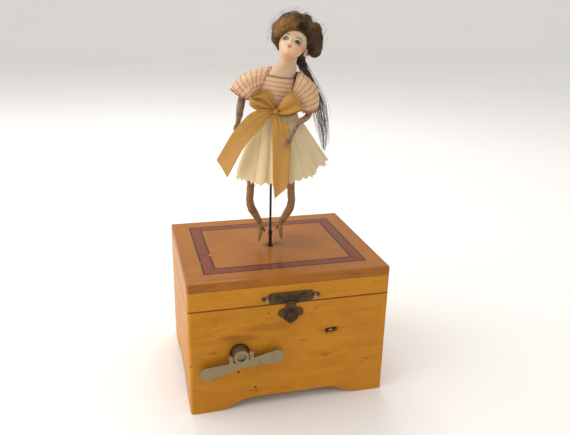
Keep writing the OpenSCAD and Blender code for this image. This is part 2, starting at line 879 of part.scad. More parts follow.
module ribbon_bow() {
  color("peru") place_doll() {
    difference() {
      hull() {
        slice(3.8, 0, waist_v - 1.3, 12, 10);
        slice(3.8, 0, waist_v + 5, 11.4, 9.6);
      }
      hull() {
        slice(3.7, 0, waist_v - 2, 9.8, 7.8);
        slice(3.6, 0, waist_v + 6, 11, 8.8);
      }
    }
    translate([3.2, -12.4, waist_v + 1]) sphere(r = 3.2);
    hull() {
      translate([2, -13.5, waist_v + 1]) sphere(r = 2, $fn = limb_fn);
      translate([-13, -15.5, 114]) rotate([90, 0, -10]) cylinder(r = 4, h = 3, $fn = limb_fn);
      translate([-4, -15, 119]) rotate([90, 0, -10]) cylinder(r = 2.5, h = 3, $fn = limb_fn);
    }
    hull() {
      translate([4, -13.5, waist_v + 1]) sphere(r = 2, $fn = limb_fn);
      translate([17.5, -14.5, 111]) rotate([90, 0, 10]) cylinder(r = 4, h = 3, $fn = limb_fn);
      translate([11.5, -14, 119]) rotate([90, 0, 10]) cylinder(r = 2.5, h = 3, $fn = limb_fn);
    }
  }
}

module ribbon_tails() {
  r = 0.6;
  color("peru") place_doll() {
    hull() {
      translate([1.5, -14.5, waist_v + 2]) sphere(r = r, $fn = limb_fn);
      translate([2.5, -15.5, waist_v - 3]) sphere(r = r, $fn = limb_fn);
      translate([-14.5, -17.5, 106]) sphere(r = r, $fn = limb_fn);
      translate([-14, -24.5, 90.5]) sphere(r = r, $fn = limb_fn);
    }
    hull() {
      translate([-14.5, -17.5, 106]) sphere(r = r, $fn = limb_fn);
      translate([-14, -24.5, 90.5]) sphere(r = r, $fn = limb_fn);
      translate([-38.8, -17, 73.2]) sphere(r = r, $fn = limb_fn);
      translate([-30.5, -26, 63.4]) sphere(r = r, $fn = limb_fn);
    }
    hull() {
      translate([3.4, -14.5, waist_v]) sphere(r = r, $fn = limb_fn);
      translate([1.5, -24.6, 96]) sphere(r = r, $fn = limb_fn);
      translate([13.8, -24.4, 95]) sphere(r = r, $fn = limb_fn);
    }
    hull() {
      translate([1.5, -24.6, 96]) sphere(r = r, $fn = limb_fn);
      translate([13.8, -24.4, 95]) sphere(r = r, $fn = limb_fn);
      translate([3.4, -38.6, 53]) sphere(r = r, $fn = limb_fn);
      translate([12.6, -38, 60]) sphere(r = r, $fn = limb_fn);
    }
  }
}

module left_arm() {
  color("rosybrown") place_doll() difference() {
    union() {
      link([left_shoulder_x, 0, shoulder_v], 2.4, [-22, 0, 114], 2.9);
      link([-22, 0, 114], 2.9, [-24.4, -0.5, 98.5], 2.1);
      link([-24.4, -0.5, 98.5], 2.1, [-27.2, -1, 91.5], 1.4);
    }
    translate([0, 0, shoulder_v]) x_cylinder(0.65, -40, 0);
  }
}

// Puffed sleeve, cut flat beside the body so that it can swing with the arm.
module puff(x_in, x_mid, x_out, z_top, z_low, bore) {
  difference() {
    hull() {
      translate([x_in, 0, shoulder_v]) rotate([0, 90, 0])
        cylinder(r = 8, h = 0.6, center = true, $fn = 28);
      translate([x_mid, 0, (z_top + z_low) / 2]) sphere(r = 9, $fn = 28);
      translate([x_out, 0, z_low + 4]) sphere(r = 5, $fn = 20);
    }
    hull() for (k = bore) translate(k) sphere(r = 3.7, $fn = limb_fn);
    translate([0, 0, shoulder_v]) x_cylinder(1.1, -30, 30);
  }
}

module left_sleeve() {
  color("mistyrose") place_doll()
    puff(-10.2, -19.6, -25, 134, 116,
         [[left_shoulder_x + 0.5, 0, shoulder_v], [-22.3, 0, 112]]);
}

// One bent piece: upper arm, elbow and a forearm laid across the skirt's front.
module right_arm() {
  elbow = [27, -6, 105];
  wrist = [19.8, -22.5, 102.6];
  color("rosybrown") place_doll() difference() {
    union() {
      link([right_shoulder_x, 0, shoulder_v], 2.4, elbow, 2.3);
      link(elbow, 2.3, wrist, 1.9);
      link(wrist, 1.9, [13.5, -29.5, 92.5], 1.5);
      link([13.5, -29.5, 92.5], 1.5, [9.8, -32, 86.8], 0.9);
    }
    translate([0, 0, shoulder_v]) x_cylinder(0.65, 0, 40);
  }
}

module right_sleeve() {
  color("mistyrose") place_doll()
    puff(17, 26, 29.5, 132, 106,
         [[right_shoulder_x - 0.5, 0, shoulder_v], [27.6, -5.4, 105]]);
}

// Thigh with a forked lower end for the knee's tongue.
module thigh(side) {
  x_knee = side * 16.2;
  difference() {
    union() {
      link([side * hip_x, 0, hip_v], 3, [side * 15.2, 0, 56], 3.1);
      link([side * 15.2, 0, 56], 3.1, [x_knee, 0, knee_v], 3.1);
    }
    translate([0, 0, hip_v]) x_cylinder(0.65, -30, 30);
    translate([x_knee - 1.1, -6, knee_v - 6]) cube([2.2, 12, 9.6]);
  }
  translate([x_knee, 0, knee_v]) x_cylinder(0.5, -2.4, 2.4);
}

// Shin with its knee tongue and a pointed, heeled foot.
module shin(side) {
  x_knee = side * 16.2;
  foot_v = side < 0 ? 0 : 2.2;
  difference() {
    union() {
      link([side * 14.6, 0, knee_v - 7], 3, [side * 7.6, 0.5, 18], 1.9);
      translate([x_knee - 0.9, -1.8, knee_v - 8]) cube([1.8, 3.6, 8]);
      translate([x_knee, 0, knee_v]) x_cylinder(1.8, -0.9, 0.9);
      link([side * 7.6, 0.5, 18], 1.9, [side * 8.6, -2.5, 4.6 + foot_v], 1.1);
      link([side * 7.4, 1, 16], 1.4, [side * 4.4, 2.6, 11 + foot_v], 0.8);
    }
    translate([x_knee, 0, knee_v]) x_cylinder(0.55, -4, 4);
  }
}

module left_thigh() {
  color("peru") place_doll() thigh(-1);
}

module left_shin() {
  color("peru") place_doll() shin(-1);
}

module right_thigh() {
  color("peru") place_doll() thigh(1);
}

module right_shin() {
  color("peru") place_doll() shin(1);
}

front_panel();
back_panel();
left_panel();
right_panel();
bottom_board();
case_screws();
lower_hinge_leaves();
hinge_pins();
lid_slab();
lid_front_rail();
lid_back_rail();
lid_left_rail();
lid_right_rail();
inlay_band();
inlay_lines();
rod_bush();
upper_hinge_leaves();
clasp_plate();
clasp_pins();
clasp_drop();
winding_arbor();
key_pin();
key_wing();
ratchet_wheel();
click();
bedplate();
front_plate();
back_plate();
spindle_bridge();
movement_screws();
spring_barrel();
mainspring();
music_cylinder();
comb();
comb_base();
drive_spindle();
air_brake();
stop_lever();
lever_post();
doll_rod();
rod_collar();
drive_pin();
doll_torso();
hip_wire();
shoulder_wire();
doll_head();
wig();
hair_lock();
skirt();
ribbon_bow();
ribbon_tails();
left_arm();
left_sleeve();
right_arm();
right_sleeve();
left_thigh();
left_shin();
right_thigh();
right_shin();
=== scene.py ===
"""Looks of the musical automaton box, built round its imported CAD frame.

Laid out as an add-on: one operator for each piece or group of like pieces, and a panel in
the sidebar of the 3D view. The doll is drawn in millimetres in a frame of its own: x runs to
the viewer's right, y to the back and z up from the top of the lid. Left and right are the
viewer's.
"""

import math

import bpy
import numpy as np
from mathutils import Matrix, Vector
from mathutils.bvhtree import BVHTree


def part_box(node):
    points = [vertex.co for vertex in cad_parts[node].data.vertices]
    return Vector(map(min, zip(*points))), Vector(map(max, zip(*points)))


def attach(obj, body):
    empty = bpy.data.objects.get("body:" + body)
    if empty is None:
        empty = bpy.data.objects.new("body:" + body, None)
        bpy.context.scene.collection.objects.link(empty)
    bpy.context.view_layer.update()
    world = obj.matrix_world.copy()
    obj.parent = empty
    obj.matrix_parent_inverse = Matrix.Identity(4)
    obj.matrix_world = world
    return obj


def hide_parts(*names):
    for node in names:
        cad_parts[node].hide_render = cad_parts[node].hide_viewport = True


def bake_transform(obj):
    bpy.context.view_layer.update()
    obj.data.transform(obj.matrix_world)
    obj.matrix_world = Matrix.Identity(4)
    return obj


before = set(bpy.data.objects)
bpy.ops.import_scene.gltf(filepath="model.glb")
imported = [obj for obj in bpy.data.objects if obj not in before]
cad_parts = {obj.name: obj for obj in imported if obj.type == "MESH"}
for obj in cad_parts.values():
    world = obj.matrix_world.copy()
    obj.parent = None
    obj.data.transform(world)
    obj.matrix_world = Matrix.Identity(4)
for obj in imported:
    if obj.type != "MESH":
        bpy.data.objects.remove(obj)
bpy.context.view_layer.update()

bl_info = {
    "name": "Musical Automaton Box",
    "version": (1, 0, 0),
    "blender": (4, 5, 0),
    "location": "View3D > Sidebar > Automaton",
    "description": "Finishes, doll and stage for the musical automaton box",
    "category": "Object",
}

MM = 0.001
COTTON_THICK = 0.30 * MM
RIBBON_THICK = 0.28 * MM


# ---------- settings ----------


def colour_property(name, description, value):
    return bpy.props.FloatVectorProperty(
        name=name, description=description, subtype="COLOR", size=3, min=0.0, max=1.0, default=value
    )


class BoxSettings(bpy.types.PropertyGroup):
    """Finishes of the wooden box and its hardware."""

    maple_light: colour_property("Maple", "Honey maple between the grain lines", (0.53, 0.222, 0.018))
    maple_dark: colour_property("Maple grain", "Darker lines of the maple's grain",
                                (0.42, 0.156, 0.009))
    top_light: colour_property("Lid maple", "Polished maple of the lid", (0.355, 0.124, 0.012))
    top_dark: colour_property("Lid grain", "Darker lines of the lid's grain", (0.245, 0.080, 0.007))
    rosewood: colour_property("Inlay wood", "Red-brown wood of the inlaid band", (0.21, 0.046, 0.010))
    bronze: colour_property("Clasp bronze", "Patinated bronze of the clasp", (0.085, 0.048, 0.026))
    nickel: colour_property("Key nickel", "Dull nickel of the winding key", (0.26, 0.20, 0.115))
    polish: bpy.props.FloatProperty(
        name="Polish", description="Weight of the polish coat on the lid", default=0.24,
        min=0.0, max=1.0, subtype="FACTOR",
    )
    edge_round: bpy.props.FloatProperty(
        name="Edge rounding", description="Radius worn onto the wooden edges", default=0.0003,
        min=0.0, max=0.002, unit="LENGTH",
    )


class DollSettings(bpy.types.PropertyGroup):
    """Sizes and colours of the doll and its dress."""

    skirt_flare: bpy.props.FloatProperty(
        name="Hem half width", description="Half the width of the skirt at its hem", default=0.0347,
        min=0.025, max=0.04, unit="LENGTH",
    )
    hem_tilt: bpy.props.FloatProperty(
        name="Hem tilt", description="How much higher the hem hangs on its right side",
        default=math.radians(8), min=0.0, max=0.3, unit="ROTATION",
    )
    hair_strands: bpy.props.IntProperty(
        name="Hair strands", description="Strands combed over the wig", default=1300, min=100, max=3000
    )
    skirt_cotton: colour_property("Skirt", "Cream cotton of the skirt", (0.80, 0.63, 0.345))
    ribbon_gold: colour_property("Ribbon", "Ochre satin of the sash and bow", (0.56, 0.265, 0.030))
    dress_cream: colour_property("Dress", "Ground of the striped dress cotton", (0.74, 0.50, 0.28))
    dress_stripe: colour_property("Dress stripe", "Thin stripes of the dress", (0.52, 0.13, 0.07))
    skin: colour_property("Wax", "Pale wax of the head", (0.72, 0.50, 0.32))
    # Blush on the cheeks, and painted shade along the jaw and under the chin.
    flush: colour_property("Flush", "Warm tint of cheeks, jaw and neck", (0.66, 0.30, 0.12))
    hair: colour_property("Hair", "Brown mohair", (0.080, 0.037, 0.013))
    hair_gold: colour_property("Hair light", "Golden strands of the front roll", (0.33, 0.165, 0.038))


class StageSettings(bpy.types.PropertyGroup):
    """Camera and lights."""

    azimuth: bpy.props.FloatProperty(
        name="Azimuth", description="Camera's turn about the box", default=math.radians(-15.11),
        unit="ROTATION",
    )
    elevation: bpy.props.FloatProperty(
        name="Elevation", description="Camera's height angle", default=math.radians(19.55),
        unit="ROTATION"
    )
    roll: bpy.props.FloatProperty(
        name="Roll", description="Camera's roll", default=math.radians(1.13), unit="ROTATION"
    )
    distance: bpy.props.FloatProperty(
        name="Distance", description="Camera's distance from its target", default=0.4804, unit="LENGTH"
    )
    target: bpy.props.FloatVectorProperty(
        name="Target", description="Point that the camera looks at", default=(0.0101, 0.0027, 0.1266),
        size=3, subtype="TRANSLATION", unit="LENGTH",
    )
    lens: bpy.props.FloatProperty(
        name="Lens", description="Focal length in millimetres on a 36 mm sensor", default=38.26,
        min=10.0
    )
    key_power: bpy.props.FloatProperty(
        name="Key light", description="Power of the big soft light on the left", default=14.0,
        unit="POWER"
    )
    top_power: bpy.props.FloatProperty(
        name="Top light", description="Power of the soft light overhead", default=6.0, unit="POWER"
    )


# ---------- mesh making ----------

LID_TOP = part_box("lid_slab")[1].z
ROD = (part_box("doll_rod")[0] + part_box("doll_rod")[1]) / 2
DOLL_YAW = math.radians(-15)
DOLL = Matrix.Translation((ROD.x, ROD.y, LID_TOP)) @ Matrix.Rotation(DOLL_YAW, 4, "Z")
HEAD = (
    DOLL
    @ Matrix.Translation(Vector((14.5, -0.5, 154.5)) * MM)
    @ Matrix.Rotation(math.radians(-10), 4, "Z")
    @ Matrix.Rotation(math.radians(17), 4, "Y")
    @ Matrix.Rotation(math.radians(-28), 4, "X")
)


def smooth_step(low, high, value):
    """0 below low and 1 above high, with a soft rise between them."""
    t = np.clip((value - low) / (high - low), 0, 1)
    return t * t * (3 - 2 * t)


def hill(x, centre, width):
    """A smooth bump of height 1 at the centre."""
    return np.exp(-(((x - centre) / width) ** 2))


def bend_through(points, t):
    """Points at 0-1 positions t on a smooth curve through the given points."""
    p = np.asarray(points, float)
    last = len(p) - 1
    place = np.clip(np.asarray(t, float), 0, 1) * last
    i = np.minimum(place.astype(int), last - 1)
    f = (place - i)[..., None]
    before, a, b, after = p[np.maximum(i - 1, 0)], p[i], p[i + 1], p[np.minimum(i + 2, last)]
    return 0.5 * (
        2 * a
        + (b - before) * f
        + (2 * before - 5 * a + 4 * b - after) * f**2
        + (3 * a - before - 3 * b + after) * f**3
    )


def grid_faces(rows, columns, closed=False):
    """Quads of a grid whose points run along its columns first."""
    wide = columns if closed else columns - 1
    r, c = np.meshgrid(np.arange(rows - 1), np.arange(wide), indexing="ij")
    following = (c + 1) % columns
    here, beyond = r * columns, (r + 1) * columns
    corners = (here + c, here + following, beyond + following, beyond + c)
    return np.stack(corners, -1).reshape(-1, 4).tolist()


def add_piece(name, points, faces, place=DOLL, threads=None, smooth=True):
    """A mesh object from millimetre points in the frame `place`; threads are its cloth coordinates."""
    mesh = bpy.data.meshes.new(name)
    mesh.from_pydata((np.asarray(points, float).reshape(-1, 3) * MM).tolist(), [], faces)
    mesh.validate()
    if threads is not None:
        marks = mesh.attributes.new("thread", "FLOAT_VECTOR", "POINT")
        marks.data.foreach_set("vector", np.asarray(threads, np.float32).reshape(-1))
    mesh.polygons.foreach_set("use_smooth", [smooth] * len(mesh.polygons))
    piece = bpy.data.objects.new(name, mesh)
    bpy.context.scene.collection.objects.link(piece)
    piece.matrix_world = place
    return piece


def thread_marks(points):
    """Cloth coordinates in millimetres for a grid of points: across, along, and 0-1 along."""
    p = np.asarray(points, float)
    rows, columns = p.shape[:2]
    across = np.zeros((rows, columns))
    across[:, 1:] = np.cumsum(np.linalg.norm(np.diff(p, axis=1), axis=2), axis=1)
    along = np.zeros((rows, columns))
    along[1:] = np.cumsum(np.linalg.norm(np.diff(p, axis=0), axis=2), axis=0)
    share = np.linspace(0, 1, rows)
    mean_across, mean_along = across.mean(axis=0)[None, :], along.mean(axis=1)[:, None]
    return np.stack(np.broadcast_arrays(mean_across, mean_along, share[:, None]), -1)


def sweep(centres, radii, columns, flat=None):
    """Rings round a line of centres; radii is one for each ring, or (wide, deep)."""
    c = np.asarray(centres, float)
    tangent = np.gradient(c, axis=0)
    tangent /= np.linalg.norm(tangent, axis=1)[:, None]
    side = np.cross(tangent[0], [0, 1, 0] if flat is None else flat)
    sides = []
    for t in tangent:
        side = side - t * np.dot(side, t)
        side /= np.linalg.norm(side)
        sides.append(side)
    sides = np.array(sides)
    ups = np.cross(sides, tangent)
    r = np.asarray(radii, float).reshape(len(c), -1)
    wide, deep = r[:, 0][:, None], r[:, -1][:, None]
    angle = np.linspace(0, 2 * np.pi, columns, endpoint=False)[None, :]
    return (
        c[:, None, :]
        + (wide * np.cos(angle))[..., None] * sides[:, None, :]
        + (deep * np.sin(angle))[..., None] * ups[:, None, :]
    )


def closed_faces(rows, columns, offset=0):
    """Faces of a swept solid, with an end fan at each end."""
    quads = [[i + offset for i in f] for f in grid_faces(rows, columns, closed=True)]
    first = [offset + i for i in range(columns)]
    last = [offset + (rows - 1) * columns + i for i in range(columns)]
    return quads + [first[::-1], last]


class Bundle:
    """Several swept solids gathered into one mesh."""

    def __init__(self):
        self.points, self.faces, self.threads, self.count = [], [], [], 0

    def add(self, rings, capped=True):
        rings = np.asarray(rings, float)
        rows, columns = rings.shape[:2]
        self.points.append(rings.reshape(-1, 3))
        self.threads.append(thread_marks(rings).reshape(-1, 3))
        if capped:
            self.faces += closed_faces(rows, columns, self.count)
        else:
            self.faces += [[i + self.count for i in f] for f in grid_faces(rows, columns)]
        self.count += rows * columns

    def tube(self, points, radius, sides=6, steps=None, taper=None, shade=None):
        steps = steps or 4 * len(points)
        t = np.linspace(0, 1, steps)
        r = radius * (np.ones(steps) if taper is None else taper(t))
        self.add(sweep(bend_through(points, t), r, sides))
        if shade is not None:
            self.threads[-1][:, 0] = shade

    def build(self, name, place=DOLL, smooth=True):
        return add_piece(
            name, np.concatenate(self.points), self.faces, place, np.concatenate(self.threads), smooth
        )


def settle_mesh(piece):
    """Applies a piece's modifiers to its mesh."""
    bpy.context.view_layer.update()
    depsgraph = bpy.context.evaluated_depsgraph_get()
    mesh = bpy.data.meshes.new_from_object(piece.evaluated_get(depsgraph))
    piece.modifiers.clear()
    piece.data = mesh


def finish_piece(piece, body, material, slot, *nodes):
    """Gives a piece its material and body, and hides the CAD nodes that it replaces. The slot is not used.
    """
    piece.data.materials.clear()
    piece.data.materials.append(material)
    if body is not None:
        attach(piece, body)
    if nodes:
        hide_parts(*nodes)
    return piece


def noise_field(points, size, seed):
    """Smooth unrepeating waves from -1 to 1 over points, of about that size."""
    p = np.asarray(points, float) / size
    rng = np.random.default_rng(seed)
    total = np.zeros(p.shape[:-1])
    for _ in range(7):
        direction = rng.normal(size=3)
        total += np.sin(p @ direction * 2.2 + rng.uniform(0, 6.28))
    return total / 4


# ---------- shared shader effects ----------


class Effect:
    """A shader node group in the making."""

    def __init__(self, name, inputs, outputs):
        self.tree = bpy.data.node_groups.new(name, "ShaderNodeTree")
        for socket, (kind, value) in inputs.items():
            made = self.tree.interface.new_socket(name=socket, in_out="INPUT", socket_type=kind)
            if value is not None:
                made.default_value = value
        for socket, kind in outputs.items():
            self.tree.interface.new_socket(name=socket, in_out="OUTPUT", socket_type=kind)
        self.source = self.tree.nodes.new("NodeGroupInput").outputs
        self.result = self.tree.nodes.new("NodeGroupOutput").inputs

    def node(self, kind, *values):
        """A new node whose first inputs take the given outputs or values."""
        made = self.tree.nodes.new(kind)
        for socket, value in zip(made.inputs, values):
            put(self.tree, socket, value)
        return made

    def math(self, operation, *values, clamp=False):
        made = self.node("ShaderNodeMath", *values)
        made.operation, made.use_clamp = operation, clamp
        return made.outputs[0]

    def vector(self, operation, *values):
        made = self.node("ShaderNodeVectorMath", *values)
        made.operation = operation
        return made.outputs["Value" if operation in ("LENGTH", "DOT_PRODUCT") else "Vector"]

    def ramp(self, value, low, high):
        made = self.node("ShaderNodeMapRange", value, low, high)
        made.interpolation_type = "SMOOTHSTEP"
        return made.outputs[0]

    def noise(self, vector, scale, detail=4.0, roughness=0.55):
        made = self.node("ShaderNodeTexNoise")
        put(self.tree, made.inputs["Vector"], vector)
        put(self.tree, made.inputs["Scale"], scale)
        made.inputs["Detail"].default_value = detail
        made.inputs["Roughness"].default_value = roughness
        return made.outputs["Fac"]

    def out(self, name, value):
        self.tree.links.new(value, self.result[name])


def put(tree, socket, value):
    """Links a socket to an output, or sets its plain value."""
    if isinstance(value, bpy.types.NodeSocket):
        tree.links.new(value, socket)
    else:
        socket.default_value = value


F, V = "NodeSocketFloat", "NodeSocketVector"
GROUPS = {}
FINISH = {}


def build_effects():
    """Wood grain, spots, wear, woven threads and dust."""
    grain = Effect(
        "Wood Grain",
        {"Vector": (V, None), "Stretch": (V, (8.0, 90.0, 90.0)), "Flecks": (F, 0.5)},
        {"Lines": F, "Patches": F, "Specks": F, "Height": F},
    )
    p = grain.source["Vector"]
    stretched = grain.vector("MULTIPLY", p, grain.source["Stretch"])
    warp = grain.noise(p, 22.0, 2.0)
    shift = grain.math("MULTIPLY", warp, 2.4)
    offset = grain.node("ShaderNodeCombineXYZ", shift, shift, shift)
    bent = grain.vector("ADD", stretched, offset.outputs[0])
    fine = grain.noise(bent, 9.0, 6.0, 0.62)
    broad = grain.noise(bent, 1.6, 3.0, 0.5)
    both = grain.math("ADD", grain.math("MULTIPLY", fine, 0.55), grain.math("MULTIPLY", broad, 0.45))
    lines = grain.ramp(both, 0.34, 0.66)
    patches = grain.ramp(grain.noise(p, 38.0, 3.0), 0.36, 0.68)
    specks_raw = grain.noise(stretched, 2.7, 2.0, 0.5)
    edge = grain.math("SUBTRACT", 0.80, grain.math("MULTIPLY", grain.source["Flecks"], 0.12))
    specks = grain.ramp(specks_raw, edge, grain.math("ADD", edge, 0.05))
    grain.out("Lines", lines)
    grain.out("Patches", patches)
    grain.out("Specks", specks)
    grain.out("Height", grain.math("SUBTRACT", fine, grain.math("MULTIPLY", specks, 0.5)))

    spot = Effect(
        "Spot",
        {
            "Vector": (V, None),
            "Centre": (V, (0, 0, 0)),
            "Size": (V, (1, 1, 1)),
            "Ragged": (F, 0.3),
            "Scale": (F, 200.0),
        },
        {"Mask": F},
    )
    away = spot.vector("SUBTRACT", spot.source["Vector"], spot.source["Centre"])
    reach = spot.vector("LENGTH", spot.vector("DIVIDE", away, spot.source["Size"]))
    rough = spot.math("SUBTRACT", spot.noise(spot.source["Vector"], spot.source["Scale"], 4.0), 0.5)
    reach = spot.math("ADD", reach, spot.math("MULTIPLY", rough, spot.source["Ragged"]))
    spot.out("Mask", spot.ramp(reach, 1.15, 0.35))

    wear = Effect(
        "Wear",
        {"Vector": (V, None), "Scale": (F, 120.0), "Amount": (F, 0.5)},
        {"Mask": F, "Edges": F, "Height": F},
    )
    blotch = wear.noise(wear.source["Vector"], wear.source["Scale"], 6.0, 0.65)
    limit = wear.math("SUBTRACT", 0.72, wear.math("MULTIPLY", wear.source["Amount"], 0.34))
    geometry = wear.node("ShaderNodeNewGeometry")
    edges = wear.ramp(geometry.outputs["Pointiness"], 0.51, 0.58)
    wear.out("Mask", wear.ramp(blotch, limit, wear.math("ADD", limit, 0.12)))
    wear.out("Edges", wear.math("MULTIPLY", edges, wear.source["Amount"]))
    wear.out("Height", blotch)

    weave = Effect(
        "Weave",
        {"Thread": (V, None), "Per mm": (F, 3.0), "Slub": (F, 0.3)},
        {"Mask": F, "Height": F},
    )
    parts = weave.node("ShaderNodeSeparateXYZ", weave.source["Thread"])
    turn = weave.math("MULTIPLY", weave.source["Per mm"], 6.2832)
    warp_wave = weave.math("SINE", weave.math("MULTIPLY", parts.outputs[0], turn))
    weft_wave = weave.math("SINE", weave.math("MULTIPLY", parts.outputs[1], turn))
    cross = weave.math("MULTIPLY", warp_wave, weft_wave)
    slub = weave.noise(weave.vector("MULTIPLY", weave.source["Thread"], (0.4, 3.0, 1.0)), 1.0, 3.0)
    mixed = weave.math("ADD", cross, weave.math("MULTIPLY", slub, weave.source["Slub"]))
    weave.out("Mask", weave.ramp(mixed, -1.0, 1.2))
    weave.out("Height", mixed)

    dust = Effect("Dust", {"Vector": (V, None), "Amount": (F, 0.3)}, {"Mask": F})
    facing = dust.node("ShaderNodeNewGeometry")
    up = dust.vector("DOT_PRODUCT", facing.outputs["Normal"], (0.0, 0.0, 1.0))
    cloud = dust.ramp(dust.noise(dust.source["Vector"], 160.0, 5.0), 0.42, 0.75)
    lying = dust.math("MULTIPLY", dust.ramp(up, 0.2, 0.9), cloud)
    dust.out("Mask", dust.math("MULTIPLY", lying, dust.source["Amount"], clamp=True))

    GROUPS.update(grain=grain.tree, spot=spot.tree, wear=wear.tree, weave=weave.tree, dust=dust.tree)


class Finish(Effect):
    """A material with its own Principled shader, fed by the shared effects."""

    def __init__(self, name, **plain):
        self.material = bpy.data.materials.new(name)
        self.material.use_nodes = True
        self.tree = self.material.node_tree
        self.shader = self.tree.nodes["Principled BSDF"]
        self.place = self.node("ShaderNodeTexCoord").outputs["Object"]
        for key, value in plain.items():
            self.shader.inputs[key.replace("_", " ")].default_value = value
        FINISH[name] = self.material

    def effect(self, name, **values):
        made = self.node("ShaderNodeGroup")
        made.node_tree = GROUPS[name]
        for key, value in values.items():
            put(self.tree, made.inputs[key.replace("_", " ")], value)
        first = made.inputs[0]
        if first.name == "Vector" and not first.is_linked:
            self.tree.links.new(self.place, first)
        return made.outputs

    def spot(self, centre, size, ragged, scale):
        """Mask of a soft ragged spot whose centre and size are in millimetres."""
        middle, reach = [c * MM for c in centre], [s * MM for s in size]
        return self.effect("spot", Centre=middle, Size=reach, Ragged=ragged, Scale=scale)["Mask"]

    def upright(self):
        """1 on upright faces and 0 on level ones."""
        facing = self.node("ShaderNodeNewGeometry").outputs["Normal"]
        rise = self.math("ABSOLUTE", self.vector("DOT_PRODUCT", facing, (0.0, 0.0, 1.0)))
        return self.ramp(rise, 0.75, 0.4)

    def thread(self):
        made = self.node("ShaderNodeAttribute")
        made.attribute_name = "thread"
        return made.outputs["Vector"]

    def blend(self, factor, a, b, mode="MIX"):
        made = self.node("ShaderNodeMix")
        made.data_type, made.blend_type = "RGBA", mode
        for socket, value in zip((made.inputs[0], made.inputs[6], made.inputs[7]), (factor, a, b)):
            if isinstance(value, (tuple, list)) or hasattr(value, "r"):
                value = (*tuple(value)[:3], 1.0)
            put(self.tree, socket, value)
        return made.outputs[2]

    def colour(self, value):
        put(self.tree, self.shader.inputs["Base Color"], value)

    def rough(self, low, high, mask):
        made = self.node("ShaderNodeMapRange", mask, 0.0, 1.0, low, high)
        put(self.tree, self.shader.inputs["Roughness"], made.outputs[0])

    def bump(self, height, distance, strength=1.0):
        made = self.node("ShaderNodeBump")
        made.inputs["Strength"].default_value = strength
        made.inputs["Distance"].default_value = distance
        put(self.tree, made.inputs["Height"], height)
        put(self.tree, self.shader.inputs["Normal"], made.outputs[0])


def darker(colour, share):
    """The colour times a share; a share above 1 makes it lighter."""
    return tuple(c * share for c in tuple(colour)[:3])


def wood(name, light, dark, stretch, polish, flecks=0.5, wood_marks=()):
    """Varnished wood; a mark with a fifth value, its raggedness, stays off level faces: the box uses these
    for painted shade in its joins.
    """
    f = Finish(name, Coat_Weight=polish, Coat_Roughness=0.12, Specular_IOR_Level=0.1)
    grain = f.effect("grain", Stretch=stretch, Flecks=flecks)
    tone = f.blend(grain["Lines"], dark, light)
    tone = f.blend(f.math("MULTIPLY", grain["Patches"], 0.35), tone, darker(light, 1.12))
    tone = f.blend(f.math("MULTIPLY", grain["Specks"], 0.55), tone, darker(dark, 0.45))
    wear = f.effect("wear", Scale=90.0, Amount=0.35)
    tone = f.blend(f.math("MULTIPLY", wear["Mask"], 0.22), tone, darker(dark, 0.8))
    tone = f.blend(f.math("MULTIPLY", wear["Edges"], 0.8), tone, darker(light, 1.25))
    for centre, size, strength, shade, *ragged in wood_marks:
        mask = f.spot(centre, size, ragged[0] if ragged else 0.7, 110.0)
        # Ragged marks are painted shade lines in the joins, kept to upright faces.
        if ragged:
            strength = f.math("MULTIPLY", f.upright(), strength)
        tone = f.blend(f.math("MULTIPLY", mask, strength), tone, shade)
    f.colour(tone)
    f.rough(0.30, 0.52, grain["Lines"])
    f.bump(grain["Height"], 0.00006, 0.5)


def metal(name, base, tarnish, rough_low, rough_high, amount=0.5, scale=160.0, metallic=1.0,
          grime=None):
    """Tarnished metal, with grime lying on it where its colour is given."""
    f = Finish(name, Metallic=metallic)
    wear = f.effect("wear", Scale=scale, Amount=amount)
    fine = f.noise(f.place, 1500.0, 3.0)
    tone = f.blend(wear["Mask"], base, tarnish)
    tone = f.blend(f.math("MULTIPLY", wear["Edges"], 0.7), tone, darker(base, 1.5))
    if grime is not None:
        dust = f.effect("dust", Amount=0.5)
        tone = f.blend(dust["Mask"], tone, grime)
    f.colour(tone)
    dull = f.math("ADD", f.math("MULTIPLY", wear["Height"], 0.7), f.math("MULTIPLY", fine, 0.3))
    f.rough(rough_low, rough_high, dull)
    f.bump(f.math("ADD", wear["Height"], fine), 0.00004, 0.5)


def cloth(name, colour, shade, per_mm, sheen, rough=0.85, stripes=None, slub=0.3, satin=0.0, edge=None):
    """Woven cloth; stripes are a colour and a pitch in millimetres, edge tints the far hem."""
    f = Finish(name, Sheen_Weight=sheen, Sheen_Roughness=0.5)
    thread = f.thread()
    weave = f.effect("weave", Thread=thread, Per_mm=per_mm, Slub=slub)
    wear = f.effect("wear", Scale=70.0, Amount=0.45)
    tone = f.blend(f.math("MULTIPLY", weave["Mask"], 0.5), shade, colour)
    tone = f.blend(f.math("MULTIPLY", wear["Mask"], 0.28), tone, darker(shade, 0.85))
    parts = f.node("ShaderNodeSeparateXYZ", thread)
    if stripes is not None:
        stripe_colour, pitch = stripes
        wobble = f.math("MULTIPLY", f.noise(f.place, 260.0, 2.0), 0.5)
        place = f.math("FRACT", f.math("DIVIDE", f.math("ADD", parts.outputs[1], wobble), pitch))
        away = f.math("ABSOLUTE", f.math("SUBTRACT", place, 0.5))
        line = f.ramp(away, 0.15, 0.07)
        fade = f.math("ADD", 0.45, f.math("MULTIPLY", f.noise(f.place, 420.0, 3.0), 0.75))
        tone = f.blend(f.math("MULTIPLY", line, fade, clamp=True), tone, stripe_colour)
    if edge is not None:
        tone = f.blend(f.math("MULTIPLY", f.ramp(parts.outputs[2], 0.90, 0.97), 0.8), tone, edge)
    f.colour(tone)
    f.rough(rough - 0.12, rough, weave["Mask"])
    f.bump(f.math("ADD", weave["Height"], f.math("MULTIPLY", wear["Height"], 0.8)), 0.00005, 0.6)
    f.shader.inputs["Coat Weight"].default_value = satin
    f.shader.inputs["Coat Roughness"].default_value = 0.45


